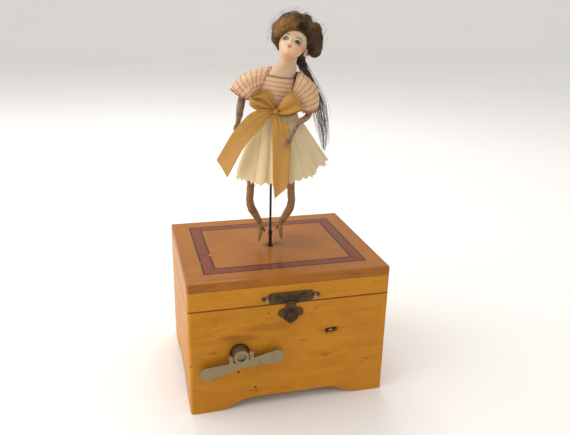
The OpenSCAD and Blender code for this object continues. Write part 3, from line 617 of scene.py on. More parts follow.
def flaking(name, base, patch, deep, rough=0.55):
    """Old paint with flaked and rubbed patches."""
    f = Finish(name)
    broad = f.effect("wear", Scale=330.0, Amount=0.75)
    small = f.effect("wear", Scale=1300.0, Amount=0.55)
    tone = f.blend(broad["Mask"], base, patch)
    tone = f.blend(f.math("MULTIPLY", small["Mask"], 0.6), tone, deep)
    tone = f.blend(f.math("MULTIPLY", broad["Edges"], 0.6), tone, darker(base, 1.4))
    f.colour(tone)
    f.rough(rough - 0.15, rough + 0.15, broad["Height"])
    f.bump(f.math("ADD", broad["Height"], small["Height"]), 0.00022, 0.7)


def hair_finish(name, dark, light, tone_and_shade_patches=()):
    """Hair whose strands each keep a shade of their own; the patches are areas of another tone, some of
    them painted shade where the hair lies in shadow.
    """
    f = Finish(name, Sheen_Weight=0.05, Sheen_Roughness=0.4, Specular_IOR_Level=0.3)
    parts = f.node("ShaderNodeSeparateXYZ", f.thread())
    comb_ways = ((-470.0, 120.0, 1250.0), (0.0, 620.0, 0.0), (150.0, 40.0, 56.0))
    ways = [f.vector("DOT_PRODUCT", f.place, way) for way in comb_ways]
    combed = f.node("ShaderNodeCombineXYZ", *ways)
    streak = f.noise(combed.outputs[0], 1.0, 4.0)
    along = f.noise(f.place, 190.0, 3.0)
    tone = f.blend(f.ramp(streak, 0.38, 0.62), darker(dark, 0.45), dark)
    tone = f.blend(f.math("MULTIPLY", along, 0.25), tone, light)
    # Each patch blends in its own colour; some are painted shade.
    for centre, size, strength, colour in tone_and_shade_patches:
        streaky = f.math("ADD", strength - 0.25, f.math("MULTIPLY", along, 0.5))
        share = f.math("MULTIPLY", f.spot(centre, size, 0.5, 300.0), streaky, clamp=True)
        tone = f.blend(share, tone, colour)
    shade = f.math("MULTIPLY", f.math("SUBTRACT", 1.0, parts.outputs[0]), 0.55, clamp=True)
    shade = f.math("MAXIMUM", shade, f.math("MULTIPLY", f.ramp(streak, 0.50, 0.36), 0.45))
    tone = f.blend(shade, tone, darker(dark, 0.3))
    f.colour(tone)
    f.rough(0.42, 0.62, streak)
    f.bump(streak, 0.00025, 0.8)


def skin_finish(name, skin, flush, spots):
    """Painted wax; each spot has a centre, size, strength, colour and raggedness."""
    f = Finish(
        name, Coat_Weight=0.35, Coat_Roughness=0.22, Subsurface_Weight=0.12, Subsurface_Scale=0.002
    )
    wear = f.effect("wear", Scale=260.0, Amount=0.35)
    fine = f.noise(f.place, 900.0, 4.0)
    tone = f.blend(f.math("MULTIPLY", wear["Mask"], 0.35), skin, darker(flush, 1.25))
    tone = f.blend(f.math("MULTIPLY", fine, 0.12), tone, darker(flush, 0.7))
    for centre, size, strength, colour, ragged in spots:
        mask = f.spot(centre, size, ragged, 500.0)
        tone = f.blend(f.math("MULTIPLY", mask, strength), tone, colour)
    f.colour(tone)
    f.rough(0.32, 0.5, wear["Height"])
    f.bump(f.math("ADD", wear["Height"], fine), 0.00005, 0.5)


# ---------- operators ----------


class AUTOMATON_OT_finishes(bpy.types.Operator):
    """Make the shared effects and every finish of the object"""

    bl_idname = "automaton.finishes"
    bl_label = "Finishes"

    def execute(self, context):
        box, doll = context.scene.automaton_box, context.scene.automaton_doll
        build_effects()
        light, dark = tuple(box.maple_light), tuple(box.maple_dark)
        stain = darker(dark, 0.62)
        front_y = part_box("front_panel")[0].y / MM
        key = (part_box("winding_arbor")[0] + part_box("winding_arbor")[1]) / 2 / MM
        wood_marks = (
            ((key.x + 22, front_y, 66), (24, 6, 4), 0.75, darker(dark, 0.85)),
            ((key.x + 3, front_y, 59), (15, 6, 4.5), 0.8, darker(dark, 0.8)),
            ((key.x, front_y, key.z), (9.5, 6, 9.5), 0.85, stain),
            ((-44, front_y, 61), (9, 5, 1.6), 0.7, stain),
            ((-58, front_y, 50), (4, 5, 1.2), 0.6, stain),
            ((28, front_y, 37), (6, 5, 1.8), 0.55, stain),
            ((-28, front_y, 14), (5, 5, 1.2), 0.5, stain),
            ((30, front_y, 58), (11, 5, 5), 0.45, stain),
            ((60, front_y, 29), (3, 5, 1.2), 0.5, stain),
            ((10, front_y, 52), (4, 5, 1), 0.45, stain),
        )
        # Painted shade in the joins: thin dark lines along the join of lid and case and along the foot of
        # the lid slab, kept to upright faces.
        seam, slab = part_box("front_panel")[1].z / MM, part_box("lid_slab")[0].z / MM
        middle_y = (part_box("front_panel")[0].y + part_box("back_panel")[1].y) / 2 / MM
        join_shade, whole_way = darker(dark, 0.16), 400
        lines = tuple(
            ((0, middle_y, z), (whole_way, whole_way, size), 0.9, join_shade, 0.12)
            for z, size in ((seam, 0.75), (slab, 0.45))
        )
        wood("maple", light, dark, (9.0, 110.0, 110.0), 0.09, 0.55, (*wood_marks, *lines))
        wood("maple_side", light, dark, (110.0, 9.0, 110.0), 0.09, 0.5, lines)
        top_light, top_dark = tuple(box.top_light), tuple(box.top_dark)
        rod = ROD / MM
        lid_shadow_and_crack = (
            # The first two marks are painted shadow of the doll: a broad patch right of the rod and a
            # darker one at its foot. The thin line is a crack near the lid's front edge.
            ((rod.x + 21, rod.y + 4, LID_TOP / MM), (28, 20, 8), 0.55, darker(top_dark, 0.75)),
            ((rod.x + 3, rod.y + 2, LID_TOP / MM), (11, 7, 6), 0.75, darker(top_dark, 0.5)),
            ((42, -45, LID_TOP / MM), (14, 0.6, 4), 0.5, darker(top_dark, 0.4)),
        )
        wood("maple_top", top_light, top_dark, (8.0, 95.0, 60.0), box.polish, 0.45, lid_shadow_and_crack)
        rose = tuple(box.rosewood)
        wood("rosewood", rose, darker(rose, 0.45), (20.0, 200.0, 60.0), box.polish, 0.7)
        wood("black_line", (0.035, 0.015, 0.010), (0.012, 0.006, 0.005), (30.0, 200.0, 60.0),
             box.polish, 0.3)
        wood("pine", (0.60, 0.38, 0.17), (0.42, 0.23, 0.085), (7.0, 80.0, 80.0), 0.0, 0.4)
        metal("old_brass", (0.55, 0.37, 0.13), (0.22, 0.13, 0.05), 0.28, 0.5, 0.45)
        metal("steel", (0.30, 0.285, 0.27), (0.13, 0.10, 0.075), 0.25, 0.5, 0.4)
        metal("nickel", tuple(box.nickel), (0.17, 0.13, 0.075), 0.34, 0.55, 0.55, 220.0, 0.85)
        metal("bronze", tuple(box.bronze), (0.045, 0.026, 0.015), 0.38, 0.6, 0.5, 420.0, 0.7,
              (0.20, 0.13, 0.08))
        metal("black_iron", (0.018, 0.014, 0.012), (0.05, 0.028, 0.016), 0.35, 0.6, 0.4, 500.0, 0.5)
        metal("pin_steel", (0.36, 0.33, 0.29), (0.18, 0.15, 0.12), 0.25, 0.4, 0.3)
        flaking("body_wood", (0.42, 0.27, 0.14), (0.50, 0.33, 0.18), (0.20, 0.11, 0.05))
        flaking("limb_paint", (0.27, 0.13, 0.036), (0.20, 0.062, 0.022), (0.46, 0.28, 0.115), 0.45)
        flaking("arm_paint", (0.26, 0.15, 0.08), (0.15, 0.088, 0.052), (0.40, 0.29, 0.19), 0.55)
        cream, stripe = tuple(doll.dress_cream), tuple(doll.dress_stripe)
        cloth("striped_cotton", cream, darker(cream, 0.82), 2.6, 0.3, 0.85, (stripe, 3.1))
        cloth("sleeve_cotton", cream, darker(cream, 0.80), 2.6, 0.3, 0.85, (stripe, 2.7),
              edge=(0.48, 0.10, 0.035))
        skirt = tuple(doll.skirt_cotton)
        cloth("cream_cotton", skirt, darker(skirt, 0.88), 3.2, 0.25, 0.9)
        gold = tuple(doll.ribbon_gold)
        cloth("gold_ribbon", gold, darker(gold, 0.74), 4.0, 0.05, 0.55, slub=0.8, satin=0.12)
        cloth("seam_thread", (0.19, 0.125, 0.06), (0.12, 0.08, 0.04), 2.0, 0.1)
        hair, golden = tuple(doll.hair), tuple(doll.hair_gold)
        tone_and_shade_patches = (
            ((8.5, -9, 167), (13, 16, 11), 0.95, golden),
            ((28.5, -5, 168), (6, 7, 5), 0.45, golden),
            ((20.5, -7, 166.5), (4.5, 9, 4.0), 0.95, darker(hair, 0.25)),
            # The last two patches are painted shade, beside the right temple and at the nape under the wig.
            ((26.5, -5, 153.5), (5, 9, 9), 0.8, darker(hair, 0.35)),
            ((20, 8, 143), (7, 8, 9), 0.9, darker(hair, 0.3)),
        )
        hair_finish("hair", hair, golden, tone_and_shade_patches)
        hair_finish("hair_lock", (0.17, 0.125, 0.10), (0.36, 0.29, 0.24))
        skin, flush = tuple(doll.skin), tuple(doll.flush)
        lips = (0.50, 0.12, 0.065)
        face_spots = (
            # The first three spots are blush on the cheeks, and painted shade along the jaw and under the
            # chin.
            ((7.5, -4, -6), (6.5, 8, 7.5), 0.8, flush, 0.2),
            ((-7.5, -4, -9), (5, 7, 4), 0.55, flush, 0.2),
            ((2, -4, -12), (8, 7, 3.2), 0.8, flush, 0.2),
            ((4.6, -9, -2.2), (3.6, 4, 2.6), 0.6, (0.26, 0.17, 0.11), 0.2),
            ((-4.6, -9, -2.2), (3.6, 4, 2.6), 0.6, (0.26, 0.17, 0.11), 0.2),
            ((0, -9, -6.35), (2.3, 5, 0.75), 0.9, lips, 0.15),
            ((0, -9, -7.35), (1.7, 5, 0.8), 0.9, lips, 0.15),
            ((0, -9, -6.85), (1.7, 5, 0.22), 0.85, (0.12, 0.02, 0.012), 0.1),
            ((0.75, -11, -4.9), (0.45, 4, 0.35), 0.8, (0.40, 0.13, 0.07), 0.1),
            ((-0.75, -11, -4.9), (0.45, 4, 0.35), 0.8, (0.40, 0.13, 0.07), 0.1),
        )
        skin_finish("wax", skin, flush, face_spots)
        # Painted shade: the spot darkens the neck under the jaw, and the body's wax is the head's wax
        # darkened for the shade under the head.
        under_jaw_shade = (((8, -6, 141), (14, 12, 7), 0.5, (0.56, 0.31, 0.14), 0.3),)
        skin_finish("shaded_neck_wax", darker(skin, 0.84), flush, under_jaw_shade)
        eye = Finish("eye_glass", Roughness=0.28, Coat_Weight=0.2, Coat_Roughness=0.08)
        away = eye.vector("LENGTH", eye.thread())
        tint = eye.blend(eye.ramp(away, 1.45, 1.2), (0.25, 0.20, 0.16), (0.06, 0.058, 0.062))
        tint = eye.blend(eye.ramp(away, 0.62, 0.45), tint, (0.01, 0.008, 0.008))
        eye.colour(tint)
        flaking("brow_paint", (0.075, 0.032, 0.018), (0.12, 0.05, 0.025), (0.05, 0.02, 0.012))
        return {"FINISHED"}


NODE_FINISH = {
    "maple": ("front_panel", "back_panel", "lid_front_rail", "lid_back_rail"),
    "maple_side": ("left_panel", "right_panel", "lid_left_rail", "lid_right_rail"),
    "maple_top": ("lid_slab",),
    "rosewood": ("inlay_band",),
    "black_line": ("inlay_lines",),
    "pine": ("bottom_board", "comb_base"),
    "old_brass": (
        "lower_hinge_leaves", "upper_hinge_leaves", "hinge_pins", "bedplate", "front_plate",
        "back_plate", "spindle_bridge", "spring_barrel", "music_cylinder", "drive_spindle", "lever_post",
    ),
    "steel": (
        "case_screws", "movement_screws", "mainspring", "comb", "air_brake", "stop_lever",
        "ratchet_wheel", "click", "hip_wire", "shoulder_wire", "drive_pin",
    ),
    "nickel": ("winding_arbor", "key_wing", "key_pin"),
    "bronze": ("clasp_plate", "clasp_drop"),
    "pin_steel": ("clasp_pins",),
    "black_iron": ("doll_rod", "rod_collar", "rod_bush"),
}


class AUTOMATON_OT_box(bpy.types.Operator):
    """Give the box, its hardware and its movement their finishes and worn edges"""

    bl_idname = "automaton.box"
    bl_label = "Box and hardware"

    def execute(self, context):
        settings = context.scene.automaton_box
        wooden = ("maple", "maple_side", "maple_top")
        for finish, names in NODE_FINISH.items():
            for name in names:
                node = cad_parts[name]
                node.data.materials.clear()
                node.data.materials.append(FINISH[finish])
                if finish in wooden:
                    weld = node.modifiers.new("Weld", "WELD")
                    weld.merge_threshold = 0.000005
                    worn = node.modifiers.new("Worn edges", "BEVEL")
                    worn.width = settings.edge_round
                    worn.segments = 2
                    worn.limit_method = "ANGLE"
                    worn.angle_limit = math.radians(50)
                    worn.use_clamp_overlap = True
        return {"FINISHED"}


class AUTOMATON_OT_inlay_joints(bpy.types.Operator):
    """Lay the butt joints, the mitres and the lost chip into the inlaid band"""

    bl_idname = "automaton.inlay_joints"
    bl_label = "Inlay joints"

    def execute(self, context):
        low, high = (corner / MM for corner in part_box("inlay_band"))
        outer_low, outer_high = (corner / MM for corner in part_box("inlay_lines"))
        border, inset, mitre_inset = 9.8, 1.2, 0.8
        butt, mitre = 0.28, 0.3
        z = LID_TOP / MM + 0.02

        def filler(bundle, a, b, thickness):
            a, b = np.array(a, float), np.array(b, float)
            along = (b - a) / np.linalg.norm(b - a)
            side = np.array([-along[1], along[0], 0]) * thickness / 2
            ring = [a - side, b - side, b + side, a + side]
            bundle.add(np.array([[p + [0, 0, h] for p in ring] for h in (-0.1, 0.0)]))

        joints = Bundle()
        near, far = inset, border - inset
        for y in (low.y + 36.0, high.y - 22.0):
            filler(joints, (outer_low.x + near, y, z), (outer_low.x + far, y + 0.4, z), butt)
        for y in (low.y + 14.0, high.y - 40.0):
            filler(joints, (outer_high.x - far, y, z), (outer_high.x - near, y, z), butt)
        for x in (low.x + 31.0, high.x - 26.0):
            filler(joints, (x, outer_low.y + near, z), (x, outer_low.y + far, z), butt)
            filler(joints, (x - 7.0, outer_high.y - far, z), (x - 7.0, outer_high.y - near, z), butt)
        near, far = mitre_inset, border - mitre_inset
        for sx, ex in ((1, outer_low.x), (-1, outer_high.x)):
            for sy, ey in ((1, outer_low.y), (-1, outer_high.y)):
                outside, inside = ((ex + sx * d, ey + sy * d, z) for d in (near, far))
                filler(joints, outside, inside, mitre)
        piece = joints.build("inlay_joints", Matrix.Identity(4), smooth=False)
        finish_piece(piece, "lid", FINISH["black_line"], "black_line")
        chips = Bundle()
        for x, start, length, wide in ((border - 0.6, 33.0, 1.6, 1.1), (0.6, 20.0, 0.9, 0.9)):
            x += outer_low.x
            filler(chips, (x, low.y + start, z), (x, low.y + start + length, z), wide)
        chip = chips.build("inlay_chips", Matrix.Identity(4), smooth=False)
        finish_piece(chip, "lid", FINISH["pine"], "pine")
        return {"FINISHED"}


class AUTOMATON_OT_clasp_relief(bpy.types.Operator):
    """Raise the scrolls and leaves on the clasp plate and its drop"""

    bl_idname = "automaton.clasp_relief"
    bl_label = "Clasp relief"

    def execute(self, context):
        low, high = (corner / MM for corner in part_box("clasp_plate"))
        middle = (low + high) / 2
        face = low.y
        relief = Bundle()

        def scroll(x, z, size, turns, start, hand=1.0):
            steps = 22
            angle = np.linspace(0, turns * 2 * np.pi, steps)
            radius = size * (1 - 0.8 * angle / angle[-1])
            across, rise = hand * radius * np.cos(angle + start), radius * np.sin(angle + start)
            path = np.stack([x + across, np.full(steps, face), z + rise], -1)
            relief.add(sweep(path, 0.34 - 0.008 * np.arange(steps), 6, flat=(0, 1, 0)))

        for hand in (-1, 1):
            scroll(middle.x + hand * 4.2, middle.z + 0.6, 2.3, 1.4, 3.4, hand)
            scroll(middle.x + hand * 9.4, middle.z - 0.4, 2.2, 1.4, 0.3, hand)
            stem = [(middle.x + hand * 1.0, face, middle.z - 2.4),
                    (middle.x + hand * 5.0, face, middle.z - 2.6),
                    (middle.x + hand * 8.0, face, middle.z + 1.6),
                    (middle.x + hand * 12.0, face, middle.z + 2.0)]
            relief.tube(stem, 0.32, steps=18)
            leaf = [(middle.x + hand * 14.5, face, middle.z - 0.3),
                    (middle.x + hand * 17.0, face, middle.z + 0.6),
                    (middle.x + hand * 20.2, face, middle.z + 0.2)]
            relief.tube(leaf, 0.42, steps=12, taper=lambda t: 1 - 0.6 * t)
        for side in (-1, 0, 1):
            petal = [(middle.x + side * 0.4, face, middle.z - 1.2),
                     (middle.x + side * 1.3, face, middle.z + 0.8),
                     (middle.x + side * 1.5, face, middle.z + 2.6)]
            relief.tube(petal, 0.45, steps=10, taper=lambda t: 1 - 0.5 * t)
        piece = relief.build("clasp_scrolls", Matrix.Identity(4))
        finish_piece(piece, "lid", FINISH["bronze"], "bronze")

        drop_low, drop_high = (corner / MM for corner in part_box("clasp_drop"))
        centre_x, centre_z = (drop_low.x + drop_high.x) / 2, drop_low.z + 7.0
        rosette = Bundle()
        ring = np.linspace(0, 2 * np.pi, 41)
        for radius, thick in ((5.0, 0.32), (2.6, 0.28)):
            across, rise = radius * np.cos(ring), radius * np.sin(ring)
            flat = np.full(len(ring), drop_low.y + 0.05)
            path = np.stack([centre_x + across, flat, centre_z + rise], -1)
            rosette.add(sweep(path, np.full(len(ring), thick), 6))
        petals = 8
        for k in range(petals):
            angle = k * 2 * math.pi / petals + 0.39
            direction = np.array([math.cos(angle), 0, math.sin(angle)])
            start = np.array([centre_x, drop_low.y + 0.1, centre_z])
            rosette.add(sweep([start + direction * r for r in (2.9, 3.6, 4.4)], [0.25, 0.5, 0.25], 6))
        bead = rosette.build("clasp_rosette", Matrix.Identity(4))
        finish_piece(bead, "clasp", FINISH["bronze"], "bronze")
        return {"FINISHED"}


def torso_line(v):
    """Middle of the body and half its width and depth at height v."""
    heights = [84, 90, 96, 101, 107, 112, 118, 123, 128, 132, 134.5, 136.2, 137.8, 139.4, 142, 146.5,
               149]
    middle = [0, 0.2, 0.9, 2.0, 3.6, 3.6, 3.5, 3.5, 3.7, 4.6, 6.0, 7.4, 8.7, 9.8, 10.9, 12.2, 12.7]
    wide = [5.4, 5.9, 6.6, 7.8, 9.3, 10.2, 11.6, 12.3, 12.4, 12.1, 11.4, 10.2, 9.0, 7.6, 6.5, 6.3, 6.2]
    deep = [5.0, 5.3, 5.9, 6.5, 7.4, 7.9, 8.7, 9.0, 8.6, 7.8, 7.3, 6.9, 6.5, 6.2, 5.9, 5.7, 5.5]
    return (np.interp(v, heights, middle), np.interp(v, heights, wide), np.interp(v, heights, deep))


def torso_points(v, angle, grow=0.0):
    """Points round the body at heights v, grow millimetres outside it; angle 0 is its front."""
    middle, wide, deep = torso_line(v)
    x, y = middle + (wide + grow) * np.sin(angle), -(deep + grow) * np.cos(angle)
    return np.stack([x, y, v + 0 * angle], -1)


class AUTOMATON_OT_torso(bpy.types.Operator):
    """Model the doll's body with its bare chest and neck"""

    bl_idname = "automaton.torso"
    bl_label = "Body and neck"

    def execute(self, context):
        rows, columns = 90, 64
        v = np.linspace(84, 148.5, rows)[:, None]
        angle = np.linspace(0, 2 * np.pi, columns, endpoint=False)[None, :]
        points = torso_points(v + 0 * angle, angle + 0 * v)
        collar = hill(v, 134.0, 2.4) * hill(np.abs(np.sin(angle)), 0.45, 0.3) * (np.cos(angle) > 0)
        points[..., 1] -= 0.35 * collar
        bust = hill(v, 126, 4) * hill(np.abs(points[..., 0] - 3.5), 4.5, 3.0) * (np.cos(angle) > 0)
        points[..., 1] -= 0.5 * bust
        piece = add_piece("doll_body", points, closed_faces(rows, columns),
                          threads=thread_marks(points))
        # The body wears the darkened wax, painted shade under the head.
        finish_piece(piece, "doll", FINISH["shaded_neck_wax"], "wax", "doll_torso")
        return {"FINISHED"}


def head_reach(direction):
    """Distance from the head's centre to its plain surface, cranium and jaw blended."""
    reaches = []
    for centre, radius in (((0, 1, 3), 11.0), ((0, -2.6, -6.4), 7.3), ((0, -2.2, -2.5), 9.1)):
        c = np.array(centre, float)
        along = direction @ c
        reaches.append(along + np.sqrt(np.maximum(along**2 - c @ c + radius**2, 0.01)))
    sharp, overlap = 1.6, 1.6
    return np.log(sum(np.exp(sharp * r) for r in reaches) / overlap) / sharp


def face_relief(x, z, front):
    """How far the face stands out of the plain head, in millimetres."""
    lift = 1.55 * hill(x, 0, 0.85) * hill(z, -4.1, 0.95)
    lift += 0.75 * hill(x, 0, 0.8) * hill(z, -2.6, 1.7)
    lift += 0.45 * hill(np.abs(x), 0.95, 0.5) * hill(z, -4.55, 0.5)
    lift -= 0.75 * hill(np.abs(x), 4.5, 2.1) * hill(z, -2.0, 1.25)
    lift += 0.35 * hill(np.abs(x), 4.4, 3.0) * hill(z, 0.6, 1.0)
    lift += 0.55 * hill(np.abs(x), 5.2, 2.3) * hill(z, -6.0, 2.3)
    lift += 0.62 * hill(x, 0, 1.5) * hill(z, -6.35, 0.5)
    lift += 0.70 * hill(x, 0, 1.15) * hill(z, -7.45, 0.55)
    lift -= 0.40 * hill(x, 0, 1.5) * hill(z, -6.88, 0.2)
    lift -= 0.35 * hill(x, 0, 1.5) * hill(z, -8.5, 0.6)
    lift -= 0.15 * hill(x, 0, 0.3) * hill(z, -5.5, 0.4)
    lift += 0.85 * hill(x, 0, 1.7) * hill(z, -10.2, 1.3)
    return lift * front


class AUTOMATON_OT_head(bpy.types.Operator):
    """Model the wax head with its face, ears, glass eyes and painted brows"""

    bl_idname = "automaton.head"
    bl_label = "Head and face"

    def execute(self, context):
        rows, columns = 130, 200
        polar = np.linspace(0.02, np.pi - 0.02, rows)[:, None]
        turn = np.linspace(0, 2 * np.pi, columns, endpoint=False)[None, :]
        direction = np.stack(
            [np.sin(polar) * np.sin(turn), -np.sin(polar) * np.cos(turn), np.cos(polar) + 0 * turn], -1
        )
        points = direction * head_reach(direction)[..., None]
        front = smooth_step(0.1, 0.5, -direction[..., 1])
        points[..., 1] -= face_relief(points[..., 0], points[..., 2], front)
        faces = closed_faces(rows, columns)
        head = add_piece("doll_head_wax", points, faces, HEAD, thread_marks(points))
        finish_piece(head, "doll", FINISH["wax"], "wax", "doll_head")
        tree = BVHTree.FromPolygons([tuple(p) for p in points.reshape(-1, 3)], faces)

        def on_face(x, z, out=0.0):
            hit = tree.ray_cast(Vector((x, -40, z)), Vector((0, 1, 0)))[0]
            if hit is None:
                raise RuntimeError("a painted line misses the face")
            return (x, hit.y - out, z)

        ears = Bundle()
        ring = np.linspace(-2.2, 2.2, 16)
        across, rise = np.cos(ring), np.sin(ring)
        rim = np.stack([10.7 + 0.5 * across, 0.8 + 1.3 * across, -3.0 + 2.6 * rise], -1)
        ears.add(sweep(rim, 0.42 + 0.12 * np.cos(ring), 8))
        lobe = [(10.6, 0.3, -2.4), (10.9, 0.2, -3.6), (10.5, -0.2, -5.2)]
        ears.tube(lobe, 0.9, 8, 10, lambda t: 1 - 0.35 * np.abs(2 * t - 1))
        ear = ears.build("doll_ears", HEAD)
        finish_piece(ear, "doll", FINISH["wax"], "wax")

        paint = Bundle()
        eye_points, eye_faces, eye_marks = [], [], []
        for side in (-1, 1):
            centre_x, centre_z = side * 4.55, -2.0
            columns, rows = 22, 9
            s = np.linspace(-1, 1, columns)
            upper = centre_z + 1.45 * (1 - np.abs(s) ** 2.1)
            lower = centre_z - 0.95 * (1 - np.abs(s) ** 2.4)
            xs = centre_x + 2.3 * s
            base = len(eye_points)
            for i in range(columns):
                for share in np.linspace(0, 1, rows):
                    z = lower[i] + (upper[i] - lower[i]) * share
                    bulge = 0.38 * (1 - s[i] ** 2) * (1 - (2 * share - 1) ** 2) + 0.03
                    eye_points.append(on_face(xs[i], z, bulge))
                    eye_marks.append((xs[i] - centre_x + 0.35, 0.0, z - centre_z - 0.15))
            eye_faces += [[base + i for i in f] for f in grid_faces(columns, rows)]
            paint.tube([on_face(x, z, 0.12) for x, z in zip(xs[::3], upper[::3])], 0.30, 6, 24,
                       lambda t: 0.45 + 0.55 * np.sin(np.pi * t))
            paint.tube([on_face(x, z, 0.08) for x, z in zip(xs[::3], lower[::3])], 0.15, 6, 24)
            brow = [(centre_x - side * 2.3, 0.5), (centre_x - side * 0.9, 1.25),
                    (centre_x + side * 0.9, 1.35), (centre_x + side * 2.8, 0.2)]
            paint.tube([on_face(x, z) for x, z in brow], 0.40 if side > 0 else 0.24, 6, 24,
                       lambda t: 0.35 + 0.65 * np.sin(np.pi * (0.15 + 0.8 * t)))
        eyes = add_piece("doll_eyes", eye_points, eye_faces, HEAD, eye_marks)
        finish_piece(eyes, "doll", FINISH["eye_glass"], "wax")
        lines = paint.build("doll_brows", HEAD)
        finish_piece(lines, "doll", FINISH["brow_paint"], "wax")
        return {"FINISHED"}


HAIR_LOBES = (
    ((16.5, 6.4, 161.3), 13.2), ((11.5, 2.0, 166.0), 8.8), ((6.4, 0.6, 163.6), 7.0),
    ((4.0, 1.6, 158.2), 4.8),
    ((4.8, 1.8, 153.4), 2.8), ((5.0, 1.2, 150.9), 1.9), ((15.0, -2.4, 169.2), 6.4),
    ((9.0, -3.6, 167.0), 5.2), ((4.6, -2.8, 161.6), 4.0),
    ((22.0, -1.0, 168.4), 5.8), ((28.2, -1.0, 163.0), 6.2), ((27.6, 2.5, 157.5), 8.0),
    ((30.2, 0.5, 153.0), 5.4),
    ((30.2, 2.5, 149.6), 4.6), ((22.0, 7.0, 152.0), 6.5), ((12.0, 8.5, 152.0), 6.0),
    ((18.5, 7.8, 147.0), 5.6), ((20.0, 9.0, 142.0), 3.8), ((22.4, 10.4, 138.0), 2.9),
)


class AUTOMATON_OT_wig(bpy.types.Operator):
    """Model the swept-up mohair wig and comb its strands over it"""

    bl_idname = "automaton.wig"
    bl_label = "Wig"

    def execute(self, context):
        count = context.scene.automaton_doll.hair_strands
        lumps = Bundle()
        for centre, radius in HAIR_LOBES:
            polar = np.linspace(0.05, np.pi - 0.05, 18)[:, None]
            turn = np.linspace(0, 2 * np.pi, 24, endpoint=False)[None, :]
            girth = radius * np.sin(polar)
            outward = [girth * np.cos(turn), girth * np.sin(turn), radius * np.cos(polar) + 0 * turn]
            lumps.add(np.array(centre) + np.stack(outward, -1))
        mass = lumps.build("wig_mass")
        mass.modifiers.new("Join", "REMESH").voxel_size = 0.00055
        soft = mass.modifiers.new("Soften", "SMOOTH")
        soft.iterations, soft.factor = 12, 0.6
        settle_mesh(mass)
        points = np.array([v.co for v in mass.data.vertices], float) / MM
        faces = [list(f.vertices) for f in mass.data.polygons]
        tree = BVHTree.FromPolygons([tuple(p) for p in points], faces)
        normals = np.array([v.normal for v in mass.data.vertices], float)
        ridge = noise_field(points @ np.array([[0.9, 0, -0.45], [0, 0.6, 0], [0.35, 0, 1.3]]), 1.1, 5)
        points += normals * (0.28 * ridge + 0.35 * noise_field(points, 4.0, 6))[:, None]
        bunch = np.linalg.norm(points - [29.0, 1.0, 154.0], axis=1)
        points += normals * (0.55 * noise_field(points, 1.5, 8) * smooth_step(10, 6, bunch))[:, None]
        mass.data.vertices.foreach_set("co", (points * MM).ravel())
        marks = mass.data.attributes.new("thread", "FLOAT_VECTOR", "POINT")
        marks.data.foreach_set("vector", np.full(points.size, 0.55, np.float32))
        mass.data.polygons.foreach_set("use_smooth", [True] * len(faces))
        finish_piece(mass, "doll", FINISH["hair"], "hair", "wig")

        rng = np.random.default_rng(11)
        strands = Bundle()
        bunch_centre = np.array([29.0, 1.0, 154.5])
        for k in range(count):
            pick = points[rng.integers(len(points))]
            here, path = Vector(pick), []
            lift = rng.uniform(0.05, 0.5)
            wisp = k % 9 == 0
            steps = rng.integers(7, 13)
            for step in range(steps):
                near, normal, _, _ = tree.find_nearest(here)
                if near is None:
                    break
                share = step / steps
                escape = share**2 * rng.uniform(1.5, 2.5) if wisp else 0
                raised = lift * math.sin(math.pi * min(1.0, share + 0.15)) + escape
                path.append(np.array(near + normal * raised))
                towards = np.array(near) - bunch_centre
                curl = smooth_step(10.5, 6.0, np.linalg.norm(towards))
                flow = np.array([1.0, 0.45, 0.35 + 0.02 * (near.x - 5)])
                if near.z < 157 and near.x < 10:
                    flow = np.array([0.25, 0.25, 1.0])
                swirl = np.cross([0.2, -1.0, 0.1], towards)
                swirl /= np.linalg.norm(swirl) + 1e-6
                curling = swirl + rng.normal(size=3) * 0.25
                way = Vector(flow / np.linalg.norm(flow) * (1 - curl) + curling * curl)
                way = way - normal * way.dot(normal)
                if way.length < 1e-3:
                    break
                here = near + way.normalized() * 1.5
            if len(path) > 4:
                strands.tube(path, rng.uniform(0.08, 0.17) if not wisp else 0.06, 4, 2 * len(path),
                             lambda t: np.sin(np.pi * (0.12 + 0.8 * t)), rng.uniform(0.1, 1.15))
        combed = strands.build("wig_strands")
        finish_piece(combed, "doll", FINISH["hair"], "hair")

        rng = np.random.default_rng(23)
        loose, wisps = Bundle(), 130
        centre = np.array([17.0, 2.0, 159.0])
        for _ in range(wisps):
            angle = rng.uniform(-0.9, 3.9)
            out = np.array([math.cos(angle), rng.uniform(-0.3, 0.3), math.sin(angle)])
            start = centre + out * np.array([13.0, 8.0, 12.0])
            near, normal, _, _ = tree.find_nearest(Vector(start))
            p = np.array(near)
            side = np.cross(out, [0, 1, 0]) * rng.choice([-1, 1])
            path = [p - out, p + out * 1.0 + side * 0.5,
                    p + out * rng.uniform(1.8, 3.2) + side * rng.uniform(1.5, 3),
                    p + out * rng.uniform(1.8, 4.2) + side * rng.uniform(3.5, 7)]
            loose.tube(path, 0.05, 3, 12, shade=0.8)
        flyaway = loose.build("wig_wisps")
        finish_piece(flyaway, "doll", FINISH["hair_lock"], "hair")
        return {"FINISHED"}


